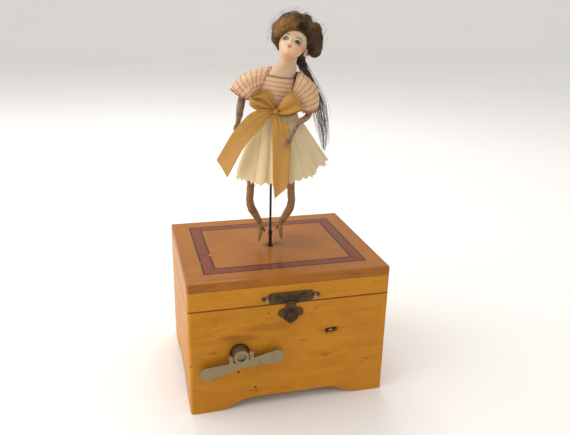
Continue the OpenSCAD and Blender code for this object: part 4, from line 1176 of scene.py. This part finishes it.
class AUTOMATON_OT_hair_lock(bpy.types.Operator):
    """Let a long thin lock of hair hang behind the right shoulder"""

    bl_idname = "automaton.hair_lock"
    bl_label = "Long lock"

    def execute(self, context):
        rng = np.random.default_rng(31)
        line = [(18.5, 8.0, 147.0), (22.4, 10.0, 137.5), (28.2, 12.2, 127.0), (33.6, 13.0, 115.0),
                (36.6, 13.0, 103.0), (39.0, 12.4, 91.0), (40.4, 11.6, 81.0), (41.0, 11.0, 74.5)]
        lock, strands = Bundle(), 120
        for k in range(strands):
            spread = rng.normal(size=3) * [1.2, 0.9, 0.3]
            phase = rng.uniform(0, 6.28)
            end = rng.uniform(0.35, 1.0) if k > 22 else rng.uniform(0.9, 1.0)
            t = np.linspace(0, end, 40)
            core = bend_through(line, t)
            belly = np.sin(np.pi * np.minimum(t * 1.02, 1)) ** 0.9 * smooth_step(0, 0.6, t)
            width = 0.7 + 2.0 * belly + 0.5 * hill(t, 0.12, 0.16)
            sway = np.stack([np.sin(t * 17 + phase), np.cos(t * 13 + phase), 0 * t], -1) * 0.35
            path = core + spread * width[:, None] + sway
            lock.add(sweep(path, 0.155 * (1.1 - 0.8 * t / end), 4))
            lock.threads[-1][:, 0] = rng.uniform(0.1, 1.1)
        piece = lock.build("long_lock")
        finish_piece(piece, "doll", FINISH["hair_lock"], "hair", "hair_lock")
        return {"FINISHED"}


# ---------- dress ----------


CLOTH_FRAMES = 16
CLOTH_STIFFNESS = 12.0


def cloth_tube(name, points):
    """Cloth sewn into a tube, from a grid of points whose columns run round it."""
    rows, columns = points.shape[:2]
    faces = grid_faces(rows, columns, closed=True)
    return add_piece(name, points, faces, threads=thread_marks(points))


def simulate(piece, pinned, limit, shrink, pressure=0.0, gravity=0.0):
    """Lets cloth settle; pinned holds each point by 0-1, limit caps its move in millimetres."""
    before = np.array([v.co for v in piece.data.vertices], float)
    group = piece.vertex_groups.new(name="pinned")
    for i, weight in enumerate(np.asarray(pinned, float).ravel()):
        group.add([i], float(weight), "REPLACE")
    modifier = piece.modifiers.new("Cloth", "CLOTH")
    settings = modifier.settings
    settings.vertex_group_mass = "pinned"
    settings.quality = 6
    settings.mass = 0.15
    settings.tension_stiffness = CLOTH_STIFFNESS
    settings.compression_stiffness = CLOTH_STIFFNESS
    settings.shear_stiffness = 4.0
    settings.bending_stiffness = 0.05
    settings.shrink_min = shrink
    settings.use_pressure = pressure > 0
    settings.uniform_pressure_force = pressure
    settings.effector_weights.gravity = gravity
    modifier.point_cache.frame_start = 1
    modifier.point_cache.frame_end = CLOTH_FRAMES
    scene = bpy.context.scene
    for number in range(1, CLOTH_FRAMES + 1):
        scene.frame_set(number)
    depsgraph = bpy.context.evaluated_depsgraph_get()
    result = piece.evaluated_get(depsgraph).to_mesh()
    after = np.array([v.co for v in result.vertices], float)
    piece.evaluated_get(depsgraph).to_mesh_clear()
    piece.modifiers.remove(modifier)
    scene.frame_set(1)
    move = after - before
    size = np.linalg.norm(move, axis=1)[:, None]
    if not np.isfinite(size).all():
        raise RuntimeError(f"the cloth of {piece.name} flew apart")
    move *= np.minimum(1.0, limit * MM / np.maximum(size, 1e-9))
    piece.data.vertices.foreach_set("co", (before + move).ravel())
    piece.data.update()


def round_off(piece):
    """Subdivides a piece smoothly and keeps the result."""
    piece.modifiers.new("Round", "SUBSURF").levels = 1
    settle_mesh(piece)


class AUTOMATON_OT_bodice(bpy.types.Operator):
    """Sew the striped bodice with its square neckline and dark seams"""

    bl_idname = "automaton.bodice"
    bl_label = "Bodice"

    def execute(self, context):
        rows, columns = 60, 160
        angle = np.linspace(-np.pi, np.pi, columns, endpoint=False)[None, :]
        t = np.linspace(0, 1, rows)[:, None]

        def neckline(a):
            """Height of the bodice's top edge round the body."""
            front = 131.9 - 1.6 * np.sin(a)
            left_strap, right_strap = smooth_step(0.78, 1.0, -a), smooth_step(1.34, 1.5, a)
            shoulder = front + (137.0 - front) * left_strap + (134.8 - front) * right_strap
            back = smooth_step(2.0, 2.5, np.abs(a))
            return shoulder + (134.0 - shoulder) * back

        waist, seam_points = 105.2, 90
        v = waist + (neckline(angle) - waist) * t
        ease = 0.75 + 0.35 * np.sin(np.pi * t) + 0.16 * np.sin(9 * angle + 2.2 * t) * (1 - t)
        points = torso_points(v, angle + 0 * v, ease)
        points += (0.14 * noise_field(points, 4.0, 3))[..., None] * [0.5, 1, 0.3]
        piece = cloth_tube("bodice", points)
        marks = thread_marks(points).reshape(-1, 3)
        marks[:, 1] = (points[..., 2] + 0.13 * (points[..., 0] - 3.5)).ravel()
        marks[:, 2] = 0
        piece.data.attributes["thread"].data.foreach_set("vector", marks.astype(np.float32).ravel())
        finish_piece(piece, "doll", FINISH["striped_cotton"], "striped_cotton")

        seams = Bundle()
        ring = np.linspace(-0.70, 1.32, seam_points)
        seams.add(sweep(torso_points(neckline(ring), ring, 1.0), np.full(seam_points, 0.2), 6))
        thread = seams.build("bodice_seams")
        finish_piece(thread, "doll", FINISH["seam_thread"], "striped_cotton")
        return {"FINISHED"}


SLEEVES = {
    "left": {
        "body": "arm_left",
        "outer": [(-0.2, 138.0), (-7.6, 138.0), (-16.4, 135.8), (-23.4, 131.6), (-28.0, 126.2),
                  (-29.2, 121.2)],
        "inner": [(-9.0, 119.0), (-9.4, 118.2), (-10.2, 117.0), (-11.2, 115.8), (-12.8, 114.8),
                  (-14.8, 114.4)],
        "deep": [6.8, 8.8, 9.8, 9.4, 7.8, 6.6],
        "forward": [0.0, 0.0, -0.2, -0.3, -0.5, -0.6],
        "droop": 0.1,
        "turn": ((-8.0, 0.0, 128.0), (-19.0, 0.0, 127.0)),
        "flat": (0.054, 0.029),
    },
    "right": {
        "body": "arm_right",
        "outer": [(18.6, 134.8), (22.8, 134.2), (28.4, 130.0), (32.6, 123.6), (34.2, 116.4),
                  (33.0, 110.0)],
        "inner": [(14.0, 119.6), (14.6, 118.6), (15.4, 117.2), (16.6, 115.2), (18.0, 113.0),
                  (19.8, 110.6)],
        "deep": [5.8, 8.2, 9.4, 9.2, 8.2, 7.2],
        "forward": [0.0, -0.4, -1.4, -2.6, -3.8, -4.6],
        "droop": 0.42,
        "turn": ((16.5, 0.0, 128.0), (25.0, 0.0, 125.0)),
        "flat": (0.050, 0.027),
    },
}


def sleeve_rings(plan, rows, columns, phase):
    """Rings of a puffed sleeve between its shoulder line and its underarm line."""
    t = np.linspace(0, 1, rows)
    outer, inner = bend_through(plan["outer"], t), bend_through(plan["inner"], t)
    deep, forward = (bend_through(np.array(plan[key])[:, None], t) for key in ("deep", "forward"))
    angle = np.linspace(0, 2 * np.pi, columns, endpoint=False)[None, :]
    s = t[:, None]
    folds = np.sin(12 * angle + phase + 1.3 * np.sin(3 * angle)) + 0.6 * np.sin(19 * angle + 2 * phase)
    soft = np.sin(5 * angle + 4 * s + phase) + 0.7 * np.sin(3 * angle - 5 * s)
    ends = 0.7 * np.exp(-s / 0.16) + 1.9 * np.exp(-(1 - s) / 0.12)
    swell = 1 + (0.050 * ends + 0.012) * folds + 0.042 * soft * np.sin(np.pi * s)
    pinch = 1 - 0.10 * hill(s, 0.93, 0.035) + 0.07 * hill(s, 1.0, 0.03)
    middle, half = (outer + inner) / 2, (outer - inner) / 2
    along, across = np.cos(angle) * swell * pinch, np.sin(angle) * swell * pinch
    droop = plan["droop"] * smooth_step(0.2, 1.0, s) * deep * across
    return np.stack([
        middle[:, :1] + half[:, :1] * along,
        forward - deep * across,
        middle[:, 1:] + half[:, 1:] * along - droop,
    ], -1)


class AUTOMATON_OT_sleeves(bpy.types.Operator):
    """Gather and puff the two short sleeves and sew them into the bodice"""

    bl_idname = "automaton.sleeves"
    bl_label = "Sleeves"

    def execute(self, context):
        for side, plan in SLEEVES.items():
            rows, columns = 48, 120
            phase, seed = (1.0, 41) if side == "left" else (2.6, 42)
            points = sleeve_rings(plan, rows, columns, phase)
            points += (0.28 * noise_field(points, 3.2, seed))[..., None] * [0.6, 1.0, 0.6]
            piece = cloth_tube(f"{side}_sleeve_puff", points)
            t = np.linspace(0, 1, rows)
            ends = np.clip(np.exp(-t / 0.05) + np.exp(-(1 - t) / 0.04), 0, 1)
            held = ends[:, None] * np.ones((1, columns))
            simulate(piece, held, limit=0.9, shrink=-0.07, pressure=0.6)
            round_off(piece)
            finish_piece(piece, None, FINISH["sleeve_cotton"], "striped_cotton", f"{side}_sleeve")
            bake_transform(piece)
            seam = Bundle()
            rim = np.concatenate([points[0], points[0][:2]]) + [0, 0, 0.1]
            seam.add(sweep(rim, np.full(len(rim), 0.17), 6))
            thread = seam.build(f"{side}_armhole_seam")
            finish_piece(thread, "doll", FINISH["seam_thread"], "striped_cotton")
        return {"FINISHED"}


class AUTOMATON_OT_skirt(bpy.types.Operator):
    """Hang the cream skirt with its soft pleats and pinked hem"""

    bl_idname = "automaton.skirt"
    bl_label = "Skirt"

    def execute(self, context):
        doll = context.scene.automaton_doll
        flare, tilt = doll.skirt_flare / MM, doll.hem_tilt
        rows, columns = 30, 288
        angle = np.linspace(0, 2 * np.pi, columns, endpoint=False)[None, :]
        t = np.linspace(0, 1, rows)[:, None]
        open_out = 0.20 * (1 - np.exp(-t / 0.07)) + 0.80 * t**0.97
        waist_wide, waist_deep, waist_height = 10.3, 8.4, 107.0
        hem_height = 62.3 + 4.5 * np.sin(angle) ** 2
        middle = 4.0 + 3.2 * t
        wide = waist_wide + (flare - waist_wide) * open_out
        deep = waist_deep + (flare - 1.0 - waist_deep) * open_out
        height = waist_height + (hem_height - waist_height) * t
        uneven = angle + 0.16 * np.sin(3 * angle + 0.7) + 0.07 * np.sin(5 * angle)
        pleat = np.cos(11 * uneven) + 0.45 * np.cos(7 * uneven + 1.3)
        sharper = np.where(pleat < 0, pleat * 1.25, pleat * 0.75)
        heavy = 1 + 0.7 * hill(np.cos(angle - 0.55), 1.0, 0.45)
        depth = (0.25 + 1.35 * t) * heavy * (0.55 + 0.45 * np.sin(np.pi * np.minimum(t * 1.4, 1) / 2))
        swing = 1 + depth * sharper / wide
        creases = (0.50, 0.74, 0.98, 1.24, 5.62)
        for crease in creases:
            swing = swing - 1.5 * t**0.8 * hill(angle, crease + 0.05 * t, 0.05) / wide
        x = middle + wide * swing * np.sin(angle)
        y = -deep * swing * np.cos(angle)
        z = height + (x - middle) * math.tan(tilt) * t
        points = np.stack([x, y, z], -1)
        piece = cloth_tube("skirt_cloth", points)
        held = np.clip(1.2 - t / 0.10, 0, 1) * np.ones((1, columns))
        simulate(piece, held, limit=1.6, shrink=-0.035, gravity=0.15)
        settled = np.array([v.co for v in piece.data.vertices], float).reshape(rows, columns, 3) / MM
        bpy.data.objects.remove(piece)

        finer = 3
        fine = finer * columns
        where = np.arange(fine) / finer
        i = where.astype(int)
        f = (where - i)[None, :, None]
        a, b, c, d = (settled[:, (i + k) % columns] for k in (-1, 0, 1, 2))
        square, cube = 2 * a - 5 * b + 4 * c - d, 3 * b - a - 3 * c + d
        dense = 0.5 * (2 * b + (c - a) * f + square * f**2 + cube * f**3)
        turn = np.arange(fine) / fine * 2 * np.pi
        teeth = 46
        saw = np.abs(((turn * teeth / (2 * np.pi) + 0.22 * np.sin(7 * turn)) % 1) - 0.5) * 2
        ragged = 0.55 + 0.45 * np.sin(11 * turn + 0.4) * np.sin(5 * turn)
        hang = 2.7 * saw * (0.55 + 0.45 * ragged) + 0.8 * np.sin(9 * turn + 1.0)
        down = dense[-1] - dense[-2]
        down /= np.linalg.norm(down, axis=1)[:, None]
        share = np.array([0.34, 0.67, 1.0])[:, None, None]
        hem = dense[-1][None] + share * (hang + 1.2)[None, :, None] * down[None]
        full = np.concatenate([dense, hem])
        skirt = cloth_tube("skirt_cloth", full)
        skirt.modifiers.new("Cloth thickness", "SOLIDIFY").thickness = COTTON_THICK
        finish_piece(skirt, "doll", FINISH["cream_cotton"], "cream_cotton", "skirt")

        rng = np.random.default_rng(9)
        frays, loose_threads = Bundle(), 46
        for _ in range(loose_threads):
            k = rng.integers(fine)
            start = full[-1, k]
            across = full[-1, (k + 1) % fine] - full[-1, k - 1]
            across /= np.linalg.norm(across)
            tip = start + down[k] * rng.uniform(0.6, 2.0) + across * rng.uniform(-0.9, 0.9)
            frays.tube([start - down[k] * 0.4, (start + tip) / 2 + across * 0.2, tip], 0.09, 4, 7)
        fringe = frays.build("skirt_frays")
        finish_piece(fringe, "doll", FINISH["cream_cotton"], "cream_cotton")
        return {"FINISHED"}


def ribbon(first_edge, second_edge, wave, seed, rows, across, gather):
    """A strip of ribbon between two edges; wave lifts soft folds and gather is the knot's reach."""
    t = np.linspace(0, 1, rows)
    a, b = bend_through(first_edge, t), bend_through(second_edge, t)
    s = np.linspace(0, 1, across)[None, :, None]
    points = a[:, None] * (1 - s) + b[:, None] * s
    rows_t, cols_s = t[:, None], s[..., 0]
    near_knot = np.exp(-rows_t / gather)
    folds = 1.15 * near_knot * np.sin(cols_s * 2 * np.pi * 3.0 + seed) + wave(rows_t, cols_s)
    points[..., 1] -= folds
    points[..., 1] -= 0.22 * noise_field(points, 5.0, seed)
    return points


def join_sheets(name, sheets):
    """Several strips of ribbon as one piece, with the ribbon's thickness."""
    cloth = Bundle()
    for sheet in sheets:
        cloth.add(sheet, capped=False)
    piece = cloth.build(name)
    piece.modifiers.new("Cloth thickness", "SOLIDIFY").thickness = RIBBON_THICK
    return piece


class AUTOMATON_OT_ribbon(bpy.types.Operator):
    """Tie the golden sash with its bow, knot and two long tails"""

    bl_idname = "automaton.ribbon"
    bl_label = "Sash and bow"

    def execute(self, context):
        gold = FINISH["gold_ribbon"]
        angle = np.linspace(0, 2 * np.pi, 120, endpoint=False)[None, :]
        t = np.linspace(0, 1, 26)[:, None]
        height = 104.6 + 7.4 * t + 0.8 * np.sin(angle)
        swell = 1.3 + 0.9 * np.sin(np.pi * t) + 0.35 * np.sin(4.2 * np.pi * t + 1.1 * np.sin(2 * angle))
        sash_points = torso_points(height, angle + 0 * t, swell)
        sash = cloth_tube("waist_sash", sash_points)
        sash.modifiers.new("Cloth thickness", "SOLIDIFY").thickness = RIBBON_THICK
        finish_piece(sash, "doll", gold, "gold_ribbon")

        left_loop = ribbon(
            [(2.6, -14.0, 107.4), (-5.0, -17.6, 107.8), (-12.2, -18.6, 111.2), (-15.6, -15.6, 113.6),
             (-12.8, -12.6, 115.2), (-5.5, -12.4, 113.4), (2.8, -12.6, 109.6)],
            [(2.4, -13.6, 109.6), (-4.2, -17.0, 114.0), (-11.6, -18.4, 117.0), (-15.2, -15.2, 118.4),
             (-11.4, -12.2, 120.4), (-2.2, -11.4, 123.2), (2.9, -12.4, 111.4)],
            lambda r, c: 0.75 * np.sin(3 * np.pi * c + 5 * r), 3, 84, 18, 0.12,
        )
        right_loop = ribbon(
            [(3.8, -14.0, 107.2), (10.6, -18.0, 106.8), (20.8, -19.0, 110.6), (22.4, -15.6, 111.4),
             (18.4, -12.8, 107.6), (12.4, -12.6, 105.0), (3.8, -12.6, 107.0)],
            [(4.2, -13.6, 109.8), (8.0, -17.0, 117.0), (12.4, -17.6, 122.6), (14.4, -14.8, 122.8),
             (15.6, -12.0, 117.0), (11.6, -11.8, 110.5), (4.0, -12.2, 109.0)],
            lambda r, c: 0.9 * np.sin(3.4 * np.pi * c + 4 * r), 5, 84, 22, 0.14,
        )
        loops = join_sheets("bow_loops", [left_loop, right_loop])
        finish_piece(loops, "doll", gold, "gold_ribbon", "ribbon_bow")

        knot_rings = []
        polar = np.linspace(0.06, np.pi - 0.06, 26)
        turn = np.linspace(0, 2 * np.pi, 40, endpoint=False)
        for p in polar:
            pleats = 1 + 0.14 * np.sin(6 * turn + 0.8) + 0.05 * np.sin(9 * turn)
            knot_rings.append(np.stack([
                3.3 + 1.9 * math.cos(p) + 0 * turn,
                -15.8 + 1.7 * math.sin(p) * np.cos(turn) * pleats,
                108.2 + 2.2 * math.sin(p) * np.sin(turn) * pleats,
            ], -1))
        knot = Bundle()
        knot.add(np.array(knot_rings))
        tied = knot.build("bow_knot")
        finish_piece(tied, "doll", gold, "gold_ribbon")

        left_tail = ribbon(
            [(2.0, -15.6, 109.4), (-6.0, -17.4, 110.4), (-14.4, -18.0, 107.6), (-21.4, -18.0, 100.6),
             (-27.4, -17.6, 93.0), (-33.6, -17.2, 82.6), (-39.3, -16.6, 72.7)],
            [(1.6, -16.0, 106.6), (-1.0, -19.6, 104.4), (-6.2, -22.6, 98.0), (-13.9, -24.6, 90.6),
             (-19.6, -25.4, 83.0), (-25.0, -26.0, 73.0), (-30.5, -26.4, 62.9)],
            lambda r, c: 0.9 * r * np.sin(np.pi * c * 1.3 + 3.2 * r) + 0.5 * np.sin(5.0 * r + 3 * c),
            7, 80, 26, 0.16,
        )
        right_tail = ribbon(
            [(2.4, -16.2, 106.6), (1.0, -21.4, 101.6), (1.3, -26.4, 91.0), (1.8, -32.4, 78.0),
             (2.3, -37.8, 64.0), (3.8, -41.2, 51.9)],
            [(4.8, -16.2, 106.2), (12.4, -22.4, 99.4), (14.4, -26.8, 90.0), (14.0, -32.4, 78.0),
             (13.5, -37.6, 66.0), (12.4, -39.8, 59.7)],
            lambda r, c: 0.55 * np.sin(2 * np.pi * c + 2.5 * r) * r, 9, 80, 22, 0.12,
        )
        tails = join_sheets("ribbon_ends", [left_tail, right_tail])
        finish_piece(tails, "doll", gold, "gold_ribbon", "ribbon_tails")
        loose = Bundle()
        loose.tube([(3.8, -41.2, 52.6), (4.2, -41.3, 49.4), (4.0, -41.3, 46.6), (4.6, -41.3, 44.4)],
                   0.16, 5, 16)
        thread = loose.build("ribbon_thread")
        finish_piece(thread, "doll", gold, "gold_ribbon")
        return {"FINISHED"}


# ---------- limbs ----------


def limb(bundle, points, radii, columns=20, steps=44, seed=1, rough=0.22):
    """Adds a carved limb along the points; rough is the depth of its uneven surface."""
    t = np.linspace(0, 1, steps)
    centres = bend_through(points, t)
    r = bend_through(np.asarray(radii, float)[:, None], t)[:, 0]
    rings = sweep(centres, r, columns)
    outward = (rings - centres[:, None]) / np.maximum(r, 0.5)[:, None, None]
    rings += (rough * noise_field(rings, 1.8, seed))[..., None] * outward
    narrow, reach = 0.45, 0.55

    def cap(i, inner):
        """A smaller ring just beyond the end ring i."""
        out = centres[i] - centres[inner]
        return centres[i] + (rings[i] - centres[i]) * narrow + out / np.linalg.norm(out) * r[i] * reach

    bundle.add(np.concatenate([cap(0, 1)[None], rings, cap(-1, -2)[None]]))


class AUTOMATON_OT_arms(bpy.types.Operator):
    """Model the two arms with their small hands and fingers"""

    bl_idname = "automaton.arms"
    bl_label = "Arms and hands"

    def execute(self, context):
        left = Bundle()
        limb(left, [(-18.0, 0, 128), (-20.6, 0, 120), (-22.4, -0.1, 112), (-23.6, -0.3, 104),
                    (-24.6, -0.5, 98.4), (-25.4, -0.7, 95.6)], [2.2, 2.6, 2.9, 2.5, 1.9, 1.5], seed=51)
        limb(left, [(-25.3, -0.7, 96.2), (-26.2, -0.8, 93.8), (-26.9, -0.9, 91.8)], [1.3, 1.9, 1.3],
             16, 14, 52, 0.1)
        for k in range(4):
            lean = (k - 1.5) * 0.75
            tip = (-27.4 + 0.2 * k, -1.0 + lean, 88.0 + 0.3 * abs(lean))
            finger = [(-26.6, -0.9 + lean, 92.4), (-27.3, -0.9 + lean * 1.1, 90.2), tip]
            left.tube(finger, 0.46, 8, 12, lambda t: 1 - 0.45 * t)
        left.tube([(-25.6, -2.0, 94.6), (-25.4, -3.0, 92.8), (-25.8, -3.2, 91.0)], 0.5, 8, 12,
                  lambda t: 1 - 0.4 * t)
        arm = left.build("left_arm_limb")
        finish_piece(arm, "arm_left", FINISH["arm_paint"], "arm_paint", "left_arm")

        right = Bundle()
        limb(right, [(22.5, 0, 128), (24.6, -1.6, 119), (26.6, -4.4, 109.6), (27.0, -6.4, 105.4),
                     (24.6, -13.0, 103.6), (20.6, -21.0, 102.8), (17.4, -25.6, 99.2), (15.2, -28.4, 95.4)],
             [2.2, 2.4, 2.3, 2.3, 2.2, 1.9, 1.5, 1.5], steps=64, seed=53, rough=0.3)
        limb(right, [(15.8, -27.6, 96.4), (14.0, -29.6, 93.4), (12.8, -30.6, 91.2)], [1.3, 1.75, 1.2],
             16, 14, 54, 0.12)
        for k in range(4):
            lean = k - 1.5
            start = (13.3 + 0.62 * lean, -30.2 - 0.15 * lean, 91.9 - 0.5 * lean)
            tip = (9.6 + 0.75 * lean, -32.6 - 0.1 * lean, 86.6 - 0.55 * lean + 0.25 * lean**2)
            knuckle = tuple((a + b) / 2 + c for a, b, c in zip(start, tip, (0.35, -0.5, 0.25)))
            right.tube([start, knuckle, tip], 0.5, 8, 14, lambda t: 1 - 0.5 * t)
        right.tube([(15.2, -29.6, 94.2), (15.2, -31.0, 91.6), (14.2, -31.6, 89.8)], 0.5, 8, 12,
                   lambda t: 1 - 0.4 * t)
        arm = right.build("right_arm_limb")
        finish_piece(arm, "arm_right", FINISH["arm_paint"], "arm_paint", "right_arm")
        return {"FINISHED"}


class AUTOMATON_OT_legs(bpy.types.Operator):
    """Model the thighs, shins and pointed heeled feet"""

    bl_idname = "automaton.legs"
    bl_label = "Legs"

    def execute(self, context):
        for side, name in ((-1, "left"), (1, "right")):
            up = 0.0 if side < 0 else 2.2
            thigh = Bundle()
            limb(thigh, [(side * 9.8, 0, 90), (side * 12.6, 0, 74), (side * 15.0, 0, 58),
                         (side * 15.4, 0, 49), (side * 15.8, -0.1, 42.5), (side * 16.3, -0.1, 37.4)],
                 [3.0, 3.2, 3.0, 2.9, 2.95, 2.9], 24, 52, 61 + side, 0.22)
            piece = thigh.build(f"{name}_thigh_limb")
            finish_piece(piece, f"thigh_{name}", FINISH["limb_paint"], "limb_paint", f"{name}_thigh")
            shin = Bundle()
            limb(shin, [(side * 16.25, 0, 37.6), (side * 14.9, 0.1, 31.2), (side * 12.3, 0.5, 26.4),
                        (side * 9.6, 0.6, 21.6),
                        (side * 7.8, 0.3, 17.2 + up / 2), (side * 7.9, -0.5, 12.4 + up),
                        (side * 8.3, -1.6, 8.6 + up), (side * 8.7, -2.6, 4.9 + up)],
                 [2.95, 3.1, 2.9, 2.4, 1.9, 1.75, 1.5, 0.75], 24, 60, 71 + side, 0.2)
            limb(shin, [(side * 7.4, 0.6, 17.0 + up / 2), (side * 6.0, 1.7, 14.0 + up),
                        (side * 4.5, 2.6, 11.2 + up)],
                 [1.5, 1.25, 0.85], 16, 18, 81 + side, 0.1)
            piece = shin.build(f"{name}_shin_limb")
            finish_piece(piece, f"shin_{name}", FINISH["limb_paint"], "limb_paint", f"{name}_shin")
        return {"FINISHED"}


# ---------- stage ----------


class AUTOMATON_OT_stage(bpy.types.Operator):
    """Set the pale floor, the soft lights and the camera"""

    bl_idname = "automaton.stage"
    bl_label = "Stage"

    def execute(self, context):
        settings = context.scene.automaton_stage
        context.scene.view_settings.view_transform = "Standard"
        front, reach, curve, height, half_width = -3.0, 3.0, 0.9, 2.6, 5.0
        bend = np.linspace(0, np.pi / 2, 30)
        rise = [(reach + curve * math.sin(a), curve - curve * math.cos(a)) for a in bend]
        profile = [(front, 0.0), *rise, (reach + curve, height)]
        points = np.array([[(x, y, z) for x in (-half_width, half_width)] for y, z in profile]) / MM
        floor = add_piece("paper_sweep", points, grid_faces(len(profile), 2), Matrix.Identity(4))
        paper = Finish("paper", Roughness=0.85)
        cloud = paper.noise(paper.place, 3.0, 2.0)
        paper.colour(paper.blend(cloud, (0.86, 0.845, 0.825), (0.90, 0.885, 0.865)))
        paper.bump(paper.noise(paper.place, 900.0, 3.0), 0.00002, 0.3)
        floor.data.materials.append(FINISH["paper"])

        world = bpy.data.worlds.new("Studio")
        context.scene.world = world
        world.use_nodes = True
        sky = world.node_tree.nodes["Background"]
        sky.inputs["Color"].default_value = (1.0, 0.985, 0.965, 1.0)
        sky.inputs["Strength"].default_value = 0.78

        def soft_light(name, place, aim, size, power, tint):
            lamp = bpy.data.lights.new(name, "AREA")
            lamp.shape, lamp.size, lamp.size_y = "RECTANGLE", size[0], size[1]
            lamp.energy, lamp.color = power, tint
            shown = bpy.data.objects.new(name, lamp)
            context.scene.collection.objects.link(shown)
            shown.visible_camera = False
            away = Vector(place) - Vector(aim)
            turned = away.to_track_quat("Z", "Y").to_matrix().to_4x4()
            shown.matrix_world = Matrix.Translation(place) @ turned

        middle = tuple(settings.target)
        soft_light("key", (-1.15, 0.05, 0.85), middle, (1.8, 1.6), settings.key_power,
                   (1.0, 0.97, 0.93))
        soft_light("top", (0.05, 0.75, 1.15), middle, (0.8, 0.6), settings.top_power, (1.0, 0.98, 0.95))

        turn, lift, roll = settings.azimuth, settings.elevation, settings.roll
        level = Vector((math.cos(turn), math.sin(turn), 0))
        ahead = Vector((-math.sin(turn), math.cos(turn), 0))
        forward = ahead * math.cos(lift) - Vector((0, 0, math.sin(lift)))
        rise = level.cross(forward)
        right = level * math.cos(roll) + rise * math.sin(roll)
        up = rise * math.cos(roll) - level * math.sin(roll)
        lens = bpy.data.cameras.new("camera")
        lens.lens, lens.sensor_width, lens.clip_start = settings.lens, 36.0, 0.01
        camera = bpy.data.objects.new("camera", lens)
        context.scene.collection.objects.link(camera)
        place = Vector(settings.target) - forward * settings.distance
        turned = Matrix((right, up, -forward)).transposed().to_4x4()
        camera.matrix_world = Matrix.Translation(place) @ turned
        context.scene.camera = camera
        return {"FINISHED"}


OPERATORS = (
    AUTOMATON_OT_stage, AUTOMATON_OT_finishes, AUTOMATON_OT_box, AUTOMATON_OT_inlay_joints,
    AUTOMATON_OT_clasp_relief, AUTOMATON_OT_torso, AUTOMATON_OT_head, AUTOMATON_OT_wig,
    AUTOMATON_OT_hair_lock, AUTOMATON_OT_bodice, AUTOMATON_OT_arms, AUTOMATON_OT_legs, AUTOMATON_OT_sleeves,
    AUTOMATON_OT_ribbon, AUTOMATON_OT_skirt,
)


class AUTOMATON_PT_panel(bpy.types.Panel):
    """Lists the pieces in the order in which they are made"""

    bl_idname = "AUTOMATON_PT_panel"
    bl_label = "Musical automaton box"
    bl_space_type = "VIEW_3D"
    bl_region_type = "UI"
    bl_category = "Automaton"

    def draw(self, context):
        for operator in OPERATORS:
            self.layout.operator(operator.bl_idname)


CLASSES = (BoxSettings, DollSettings, StageSettings, *OPERATORS, AUTOMATON_PT_panel)


def register():
    for cls in CLASSES:
        bpy.utils.register_class(cls)
    bpy.types.Scene.automaton_box = bpy.props.PointerProperty(type=BoxSettings)
    bpy.types.Scene.automaton_doll = bpy.props.PointerProperty(type=DollSettings)
    bpy.types.Scene.automaton_stage = bpy.props.PointerProperty(type=StageSettings)


def unregister():
    del bpy.types.Scene.automaton_stage
    del bpy.types.Scene.automaton_doll
    del bpy.types.Scene.automaton_box
    for cls in reversed(CLASSES):
        bpy.utils.unregister_class(cls)


def main():
    register()
    for operator in OPERATORS:
        area, name = operator.bl_idname.split(".")
        getattr(getattr(bpy.ops, area), name)()


if __name__ == "__main__":
    main()
